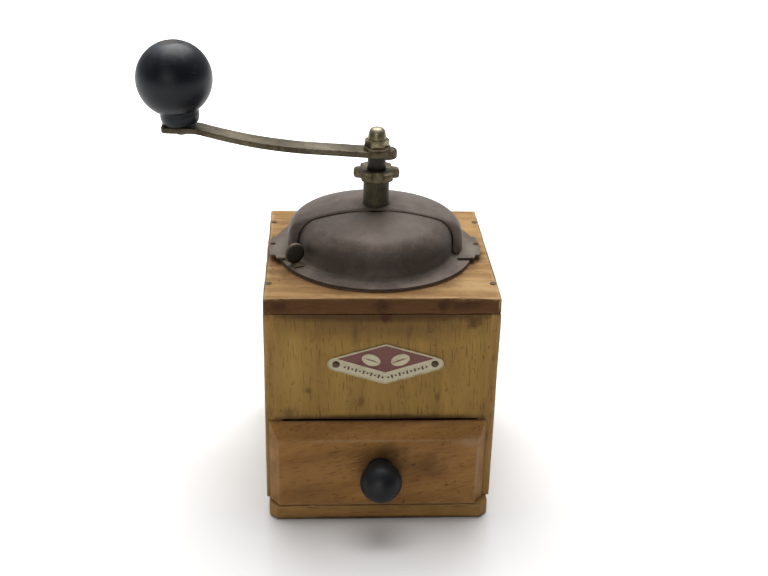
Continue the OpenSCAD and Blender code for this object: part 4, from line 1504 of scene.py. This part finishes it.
@dataclass
class Crank:
    """The star nut, the crank with its nuts, and the ball knob."""

    axis_x: float = -1.5
    reach: float = 89.0
    lean: float = 6.0
    end_slope: float = 1.0
    width: float = 11.0
    thick: float = 2.8
    rise: float = 11.2
    bottom: float = 160.5
    boss_h: float = 3.5
    tip: float = 98.0
    lobe_r: float = 4.7
    first_slope: float = 3.4
    bend_share: float = 0.62
    bend_w: float = 26.0
    pad_x: float = 82.0
    flats: float = 10.0
    ball_r: float = 17.2
    ball_lift: float = 21.6
    collar_gap: float = 1.05

    def brass(
        self, name: str, seed: float, smudges: tuple[Smudge, ...] = (), tone: float = 1.0
    ) -> bpy.types.Material:
        """Olive-brown patina on brass, darker with a lower tone."""
        bare, patina, pits = (
            tuple(part * tone for part in tint)
            for tint in ((0.14, 0.11, 0.064), (0.08, 0.058, 0.032), (0.03, 0.02, 0.012))
        )
        return Metal(
            name, bare, patina, pits, specks=0.7, speck_scale=380.0, metallic=0.55, roughness=0.48,
            mottle=130.0, seed=seed, depth=0.00022, smudges=smudges, gloss=0.3,
        ).make()

    @staticmethod
    def ease(x: float, start: float, width: float) -> float:
        """A slope that sets in softly round a place."""
        u = (x - start) / width
        if u <= -1:
            return 0.0
        return x - start if u >= 1 else width * (u + 1) ** 2 / 4

    def height(self, x: float) -> float:
        """The height of the strap's underside above the boss, at a distance from the spindle."""
        first = math.tan(math.radians(self.first_slope))
        bend = self.reach * self.bend_share
        last = math.tan(math.radians(self.end_slope))
        second = (self.rise - last * (self.reach - self.pad_x) - first * self.pad_x) / (self.pad_x - bend)
        climb = first * self.ease(x, 0, 4) + second * self.ease(x, bend, self.bend_w)
        return climb - (first + second - last) * self.ease(x, self.pad_x, 3)

    def build_star(self, stand: Stand) -> None:
        """The six-pointed nut that sets the grind."""
        low, high = corners("star_nut")
        radius, t = (high[0] - low[0]) / 2, high[2] - low[2]
        r = max(radius, (high[1] - low[1]) / 2)
        outline = [(4.45, 0), (r - 1.0, 0), (r - 0.25, 0.5), (r, 1.3), (r, t - 1.4), (r - 0.35, t - 0.5),
                   (r - 1.3, t), (7.4, t), (7.0, t - 0.35), (4.45, t - 0.35), (4.45, 0)]
        star = Bench.turned("adjusting_nut", outline, (self.axis_x, 0, low[2]), steps=96)
        for i in range(6):
            angle = math.radians(60 * i + 30)
            spot = (self.axis_x + r * math.cos(angle), r * math.sin(angle), low[2] + t / 2)
            Bench.join(star, Bench.rod("notch", spot, r * 0.3, t + 4, sides=32))
        Bench.bevel(star, 0.35, 2, 40)
        Bench.clean(star, 4e-6, 35)
        stand.place(star, self.brass("star_brass", 8.1), "star_nut", "aged_brass", "star_nut")

    def build_arm(self, stand: Stand) -> None:
        """The crank's bent strap, its round boss and the small lobe behind it."""
        half = self.width / 2
        arm = Bench.block("crank_strap", (-self.tip, -half, 0), (0, half, self.thick))
        corner = -self.tip * 0.9
        Bench.round_edges(arm, lambda a, b: a.x < corner and abs(a.z - b.z) > 1, 2.2, 6)
        Bench.grid(arm, 1.5, "X")
        for level in sorted({round(v.co.x / MM, 3) for v in arm.data.vertices}):
            Bench.choose(arm, lambda place, level=level: abs(place.x - level) < 0.002)
            bpy.ops.transform.translate(value=(0, 0, self.height(-level) * MM))
            bpy.ops.object.mode_set(mode="OBJECT")
        Bench.bevel(arm, 0.55, 3, 40)
        Bench.wobble(arm, 0.22, 9)
        outline = [(0, 0), (5.9, 0), (6.5, 0.5), (6.5, 2.9), (5.8, self.boss_h), (0, self.boss_h)]
        boss = Bench.turned("boss", outline, steps=64)
        Bench.join(arm, boss, Join.ADD)
        lobe = Bench.turned(
            "lobe", [(0, -1), (4.3, -1), (self.lobe_r, -0.6), (self.lobe_r, 2.4), (4.1, 3.1), (0, 3.1)],
            (self.lobe_r, 0, 0), steps=48,
        )
        Bench.join(arm, lobe, Join.ADD)
        Bench.join(arm, Bench.block("slit", (8.0, -0.8, 1.5), (11, 0.8, 5)))
        Bench.pick(arm)
        bpy.ops.transform.translate(value=(self.axis_x * MM, 0, self.bottom * MM))
        bpy.ops.object.transform_apply(location=True, rotation=True, scale=True)
        Bench.clean(arm, 4e-6, 35)
        pale, worn = (0.33, 0.29, 0.21), (0.26, 0.22, 0.15)
        smudges = (
            Smudge((-28, 0, self.bottom + 5), (16, 9, 5), pale, 0.35, 0.0, 0.9, 200.0),
            Smudge((-66, 0, self.bottom + 10), (20, 9, 7), worn, 0.4, 0.0, 0.9, 200.0),
            Smudge((-90, 0, self.bottom + 13), (9, 9, 5), (0.05, 0.036, 0.02), 0.5, 0.0),
        )
        skin = self.brass("crank_brass", 10.3, smudges, 0.62)
        stand.place(arm, skin, "spindle", "aged_brass", "crank_arm")

    def build_cap(self, stand: Stand) -> None:
        """The domed cap nut on the crank."""
        low, high = corners("cap_nut")
        base, top = low[2], high[2] - low[2]
        corner = self.flats / 2 / math.cos(math.radians(30))
        points = [(self.axis_x + x, y) for x, y in arc((0, 0), corner, 0, 300, 5)]
        nut = Bench.prism("cap_nut_hex", points, base, base + 3.5)
        cone = Bench.turned(
            "cone", [(0, -1), (corner + 0.6, -1), (corner + 0.6, 2.5), (corner - 0.5, 3.5), (0, 3.5)],
            (self.axis_x, 0, base), steps=64,
        )
        Bench.join(nut, cone, Join.KEEP)
        Bench.bevel(nut, 0.22, 2, 25)
        dome = [(0, 2.0), (4.7, 2.0), (4.45, 3.4), (4.15, 5.4), (3.85, top - 2.3), (3.5, top - 1.35),
                (2.9, top - 0.65), (2.0, top - 0.2), (1.0, top - 0.03), (0, top)]
        Bench.join(nut, Bench.turned("dome", dome, (self.axis_x, 0, base), steps=64), Join.ADD)
        Bench.clean(nut, 3e-6, 32)
        smudges = (Smudge((self.axis_x, -2, base + 8.5), (4.5, 5, 3), (0.48, 0.43, 0.31), 0.6, 0.0),)
        skin = Metal(
            "cap_brass", (0.2, 0.168, 0.1), (0.1, 0.08, 0.044), (0.05, 0.035, 0.02), specks=0.4,
            speck_scale=900.0, metallic=0.85, roughness=0.3, mottle=240.0, seed=12.2, depth=0.0001,
            smudges=smudges,
        )
        stand.place(nut, skin.make(), "spindle", "aged_brass", "cap_nut")

    def build_ball(self, stand: Stand) -> None:
        """The black ball knob with its collar, a ring where they meet, and the pin's sunk head."""
        r = self.ball_r
        knob_x = self.axis_x - self.reach
        seat = self.bottom + self.rise + self.thick
        middle = seat + self.ball_lift
        foot = self.collar_gap - self.ball_lift
        collar = r * 0.52
        meet = -math.sqrt(r * r - (collar + 0.35) ** 2)
        start = math.degrees(math.asin(meet / r))
        well = 4.5
        lip = math.degrees(math.acos(well / r))
        outline = [
            (2.6, foot), (collar - 1.5, foot), (collar - 1.0, foot + 0.25), (collar - 0.35, foot + 1.5),
            (collar - 0.05, foot + 3.2), (collar, foot + 4.4), (collar - 0.3, meet - 0.5),
            (collar - 0.25, meet - 0.2), (collar + 0.1, meet - 0.05),
            *arc((0, 0), r, start, lip - 1.0, 44), (well, r * math.sin(math.radians(lip)) - 0.06),
            (well - 0.12, r - 2.4), (2.6, r - 2.4), (2.6, foot),
        ]
        ball = Bench.turned("knob_ball", outline, (knob_x, 0, middle), steps=128)
        nick = (knob_x + 5.6, -1.5, middle + r - 0.9)
        Bench.join(ball, Bench.pebble(nick, (1.7, 0.35, 0.9), (0, 18, 35)))
        Bench.clean(ball, 2e-6, 34)
        Bench.swing(ball, math.radians(self.lean), Axis.Y, (knob_x, 0, seat))
        # The two smudges paint a highlight on the ball's top and upper left, mixed with dust.
        dust_and_sheen = (0.055, 0.064, 0.078)
        smudges = (
            Smudge((knob_x - 4, -4, middle + 15), (16, 14, 10), dust_and_sheen, 0.7, 0.0, 0.9, 260.0),
            Smudge((knob_x - 9, -10, middle + 9), (3, 3, 2.5), (0.05, 0.05, 0.05), 0.4, 0.0, 1.0, 600.0),
        )
        lacquer = Lacquer("ball_lacquer", seed=2.2, smudges=smudges)
        stand.place(ball, lacquer.make(), "ball_knob", "knob_black", "ball_knob")

    def dress(self, stand: Stand) -> None:
        """Finishes the spindle, washers and pin, which keep their CAD meshes."""
        dark = Metal(
            "spindle_steel", (0.014, 0.011, 0.008), (0.028, 0.021, 0.014), (0.01, 0.007, 0.005),
            specks=0.55, speck_scale=900.0, metallic=0.3, roughness=0.5, mottle=180.0, seed=13.0,
            gloss=0.25,
        ).make()
        stand.dress(dark, "spindle")
        stand.dress(self.brass("washer_brass", 14.0), "thrust_washer", "crank_washer")
        pin = Metal(
            "pin_steel", (0.03, 0.028, 0.027), (0.055, 0.05, 0.045), (0.1, 0.06, 0.035), specks=0.5,
            speck_scale=1300.0, metallic=0.7, roughness=0.45, mottle=260.0, seed=15.0,
        ).make()
        stand.dress(pin, "knob_pin")


@dataclass
class Drawer:
    """The drawer's front with its bevels, the knob, and the plain tray."""

    end_bevel: float = 4.3
    top_bevel: float = 7.0
    lip: float = 1.2
    pull_r: float = 9.6

    def build_front(self, stand: Stand) -> None:
        """The bevelled drawer front."""
        low, high = corners("drawer_front")
        face, back, top = low[1], high[1], high[2]
        front = Bench.block("drawer_face", low, high)
        depth = back - self.lip - face
        Bench.slice(front, (0, face, top - self.top_bevel), (0, -self.top_bevel, depth))
        for sign, end in ((-1, low[0]), (1, high[0])):
            corner = (end - sign * self.end_bevel, face, 0)
            Bench.slice(front, corner, (sign * depth, -self.end_bevel, 0))
        Bench.bevel(front, 0.55, 3, 20)
        Bench.grid(front, 6)
        Bench.wobble(front, 0.3, 18)
        pull_z = (low[2] + high[2]) / 2 - 1
        dents = (
            (15, pull_z + 3, 1.4), (18, pull_z - 4, 1.1), (23, pull_z + 8, 1.3), (31, pull_z - 9, 1.0),
            (-20, pull_z + 12, 1.2), (-33, pull_z - 6, 1.0), (38, pull_z + 2, 1.5),
            (12, pull_z + 11, 0.9),
        )
        for x, z, r in dents:
            Bench.join(front, Bench.pebble((x, face, z), (r * 1.1, 0.4, r * 0.8), (0, 30, 0)))
        for x, r in ((-40, 3.0), (-8, 4.0), (24, 3.4), (43, 4.2)):
            Bench.join(front, Bench.pebble((x, face - 0.25, top - self.top_bevel - 0.1), (r, 0.55, 0.7)))
        Bench.clean(front)
        pull_shadow_and_grime = (0.022, 0.011, 0.005)
        ridge = top - self.top_bevel
        smudges = (
            # The first two darken the face round the pull and above it: painted shadow of the pull, cast
            # upwards, with handling grime round it.
            Smudge((0, face, pull_z + 1), (17, 9, 15), pull_shadow_and_grime, 0.62, 0.2, 0.8),
            Smudge((5, face, pull_z + 9), (9, 9, 7), pull_shadow_and_grime, 0.55, 0.0, 0.9),
            Smudge((22, face, pull_z), (14, 9, 12), (0.045, 0.02, 0.008), 0.5, 0.0, 1.0, 160.0),
            Smudge((0, face, ridge), (52, 9, 0.9), (0.34, 0.22, 0.12), 0.5, 0.1, 1.2, 150.0),
            Smudge((42, face, ridge - 1), (10, 9, 3.5), (0.36, 0.24, 0.14), 0.5, 0.0, 1.0, 150.0),
            Smudge((high[0] - 4, face, pull_z), (1.2, 9, 24), (0.34, 0.22, 0.12), 0.5, 0.1, 1.2, 150.0),
            Smudge((low[0] + 4, face, pull_z), (1.2, 9, 24), (0.3, 0.19, 0.1), 0.45, 0.1, 1.2, 150.0),
            Smudge((0, back, top), (60, 3.0, 1.8), (0.03, 0.014, 0.006), 0.6, 0.2, 0.6),
            Smudge((-34, face, low[2] + 8), (16, 9, 10), (0.2, 0.105, 0.04), 0.4, 0.0),
        )
        finish = Wood(
            "drawer_front_wood", (0.38, 0.195, 0.062), (0.22, 0.105, 0.031), Axis.X, seed=21.3,
            spacing=10.0, ring=0.25, turn=(0.0, 17.0, 4.0), stain=0.55, stain_tint=(0.06, 0.026, 0.009),
            wear_tint=(0.36, 0.23, 0.12), wear=0.3, nicks=0.7, roughness=0.46, box=metres((low, high)),
            smudges=smudges,
        )
        stand.place(front, finish.make(), "drawer", "drawer_wood", "drawer_front")

    def build_knob(self, stand: Stand) -> None:
        """The black ball pull on its short neck."""
        low, high = corners("drawer_knob")
        r = self.pull_r
        face = high[1]
        middle_z = (low[2] + high[2]) / 2
        reach = face - low[1] - r
        start = -math.degrees(math.acos(4.8 / r))
        outline = [(0, 0.02), (6.1, 0.02), (6.3, 0.5), (6.1, 1.3), (5.3, 1.7), (4.9, 2.2),
                   *[(x, reach + y) for x, y in arc((0, 0), r, start, 90, 40)]]
        knob = Bench.turned("drawer_pull", outline, (0, face, middle_z), Axis.Y, 96)
        Bench.clean(knob, 2e-6, 34)
        # A pale spot high on the pull's front: a painted highlight, mixed with dust.
        spot = (-2, low[1] + 1, middle_z + 4)
        dust_and_sheen = Smudge(spot, (5, 5, 5), (0.05, 0.048, 0.045), 0.4, 0.0, 0.9, 400.0)
        lacquer = Lacquer(
            "pull_lacquer", (0.006, 0.0066, 0.0085), (0.028, 0.03, 0.034), roughness=0.4, seed=4.7,
            smudges=(dust_and_sheen,),
        )
        stand.place(knob, lacquer.make(), "drawer", "knob_black", "drawer_knob")

    def dress(self, stand: Stand) -> None:
        """Finishes the tray's raw boards, which keep their CAD meshes."""
        for node, grain, seed in (
            ("tray_left", Axis.Y, 31.0), ("tray_right", Axis.Y, 33.0), ("tray_back", Axis.X, 35.0),
            ("tray_bottom", Axis.Y, 37.0),
        ):
            low, high = corners(node)
            floor = (
                Smudge((0, -10, low[2] + 3), (40, 46, 6), (0.1, 0.055, 0.025), 0.55, 0.1),
                Smudge((0, 38, low[2] + 3), (44, 16, 8), (0.06, 0.033, 0.016), 0.6, 0.0),
            )
            finish = Wood(
                node + "_wood", (0.5, 0.35, 0.185), (0.3, 0.19, 0.09), grain, seed=seed, spacing=6.0,
                ring=0.35, turn=(1.0, 1.0, 1.0), stain=0.5, stain_tint=(0.13, 0.07, 0.03),
                wear_tint=(0.34, 0.23, 0.12), wear=0.4, nicks=0.5, roughness=0.68,
                box=metres((low, high)), smudges=floor,
            )
            stand.dress(finish.make(), node)


# ---------------------------------------------------------------- studio


@dataclass
class Studio:
    """A pale floor, soft light and the camera."""

    eye: Point = (-27.7, -528.9, 343.3)
    pitch: float = 25.34
    yaw: float = -3.36
    roll: float = 1.41
    lens: float = 56.4
    sky: Point = (-0.3, 0.6, 0.03, 0.5)
    shade_y: float = -0.051
    shade_fall: Point = (330.0, 8000.0)
    shade_edge: Point = (1.0, 0.35)
    shade_strength: float = 0.96
    glow_edge: Point = (0.14, 0.6)

    def floor(self) -> None:
        """The pale table that everything stands on."""
        Bench.pick()
        bpy.ops.mesh.primitive_plane_add(size=7.0, location=(0, 1.0, -0.0002))
        plane = Bench.settle("floor")
        paint = Paint("pale_floor", 1.0)
        cloud = paint.noise(3.0, 3.0, 0.5)
        base = paint.mix(cloud, (0.86, 0.86, 0.865), (0.9, 0.9, 0.9))
        x, y, _ = paint.xyz()
        away = (x * x + y * y) ** 0.5
        square = x * x * self.shade_fall[0]
        beyond = y - self.shade_y
        under = (square * square + beyond * beyond * self.shade_fall[1]) ** 0.5
        shade = under.rise(*self.shade_edge) * self.shade_strength
        base = paint.mix(shade, base, (0.03, 0.02, 0.013))
        glow = paint.mix(away.rise(*self.glow_edge), (0.0, 0.0, 0.0), (0.95, 0.96, 0.97))
        material = paint.finish(
            base, 0.14 + cloud * 0.05, Specular_IOR_Level=0.5, Emission_Color=glow, Emission_Strength=1.0
        )
        plane.data.materials.append(material)

    def lamp(self, name: str, place: Point, aim: Point, size: float, power: float, tint: Rgb) -> None:
        """A square soft light.

        Args:
            name: its name.
            place: where it hangs, in metres.
            aim: the point it faces.
            size: its side in metres.
            power: its power in watts.
            tint: its colour.
        """
        light = bpy.data.lights.new(name, "AREA")
        light.shape = "SQUARE"
        light.size = size
        light.energy = power
        light.color = tint
        obj = bpy.data.objects.new(name, light)
        obj.location = place
        obj.rotation_euler = (Vector(aim) - Vector(place)).to_track_quat("-Z", "Y").to_euler()
        bpy.context.scene.collection.objects.link(obj)

    def light(self) -> None:
        """The sky and the lamps."""
        world = bpy.data.worlds.new("sky")
        bpy.context.scene.world = world
        world.use_nodes = True
        tree = world.node_tree
        sky = tree.nodes["Background"]
        sky.inputs[0].default_value = (0.95, 0.975, 1.0, 1.0)
        way = tree.nodes.new("ShaderNodeTexCoord")
        dot = tree.nodes.new("ShaderNodeVectorMath")
        dot.operation = "DOT_PRODUCT"
        dot.inputs[1].default_value = (0.0, 0.7, 0.7)
        tree.links.new(way.outputs["Generated"], dot.inputs[0])
        fade = tree.nodes.new("ShaderNodeMapRange")
        fade.interpolation_type = "SMOOTHSTEP"
        for index, number in enumerate(self.sky, 1):
            fade.inputs[index].default_value = number
        tree.links.new(dot.outputs["Value"], fade.inputs[0])
        tree.links.new(fade.outputs[0], sky.inputs[1])
        self.lamp("overhead", (0.0, 0.5, 1.25), (0, 0.0, 0.06), 1.1, 24.5, (1.0, 0.985, 0.96))
        self.lamp("front_fill", (-0.35, -1.2, 0.55), (0, 0, 0.07), 0.6, 3.0, (1.0, 0.96, 0.9))

    def camera(self) -> None:
        """The camera at the chosen eye, pitch, yaw and roll."""
        pitch, yaw, roll = (math.radians(a) for a in (self.pitch, self.yaw, self.roll))
        ahead = Vector((-math.sin(yaw), math.cos(yaw), 0))
        side = Vector((math.cos(yaw), math.sin(yaw), 0))
        sky = Vector((0, 0, 1))
        view = ahead * math.cos(pitch) - sky * math.sin(pitch)
        above = sky * math.cos(pitch) + ahead * math.sin(pitch)
        right = side * math.cos(roll) + above * math.sin(roll)
        upward = above * math.cos(roll) - side * math.sin(roll)
        matrix = Matrix((right, upward, -view)).transposed().to_4x4()
        matrix.translation = Vector(self.eye) * MM
        data = bpy.data.cameras.new("camera")
        data.lens = self.lens
        data.sensor_width = 36.0
        data.clip_start = 0.01
        camera = bpy.data.objects.new("camera", data)
        camera.matrix_world = matrix
        bpy.context.scene.collection.objects.link(camera)
        bpy.context.scene.camera = camera

    def build(self) -> None:
        """Sets the whole studio up."""
        self.floor()
        self.light()
        self.camera()
        bpy.context.scene.view_settings.view_transform = "Standard"


def main() -> None:
    """Builds the mill, sub-assembly by sub-assembly, and the studio round it."""
    logging.basicConfig(level=logging.INFO, format="%(name)s %(message)s")
    stand = Stand()
    case = Case()
    case.top_board(stand)
    case.panels(stand)
    case.sides(stand)
    case.base(stand)
    case.fixings(stand)
    Badge().build(stand)
    head = Head()
    head.build_hood(stand)
    head.build_lid(stand)
    head.build_tab(stand)
    head.build_bush(stand)
    Mill().dress(stand)
    crank = Crank()
    crank.build_star(stand)
    crank.build_arm(stand)
    crank.build_cap(stand)
    crank.build_ball(stand)
    crank.dress(stand)
    drawer = Drawer()
    drawer.build_front(stand)
    drawer.build_knob(stand)
    drawer.dress(stand)
    Studio().build()
    LOG.info("%d new pieces", stand.made)


if __name__ == "__main__":
    main()
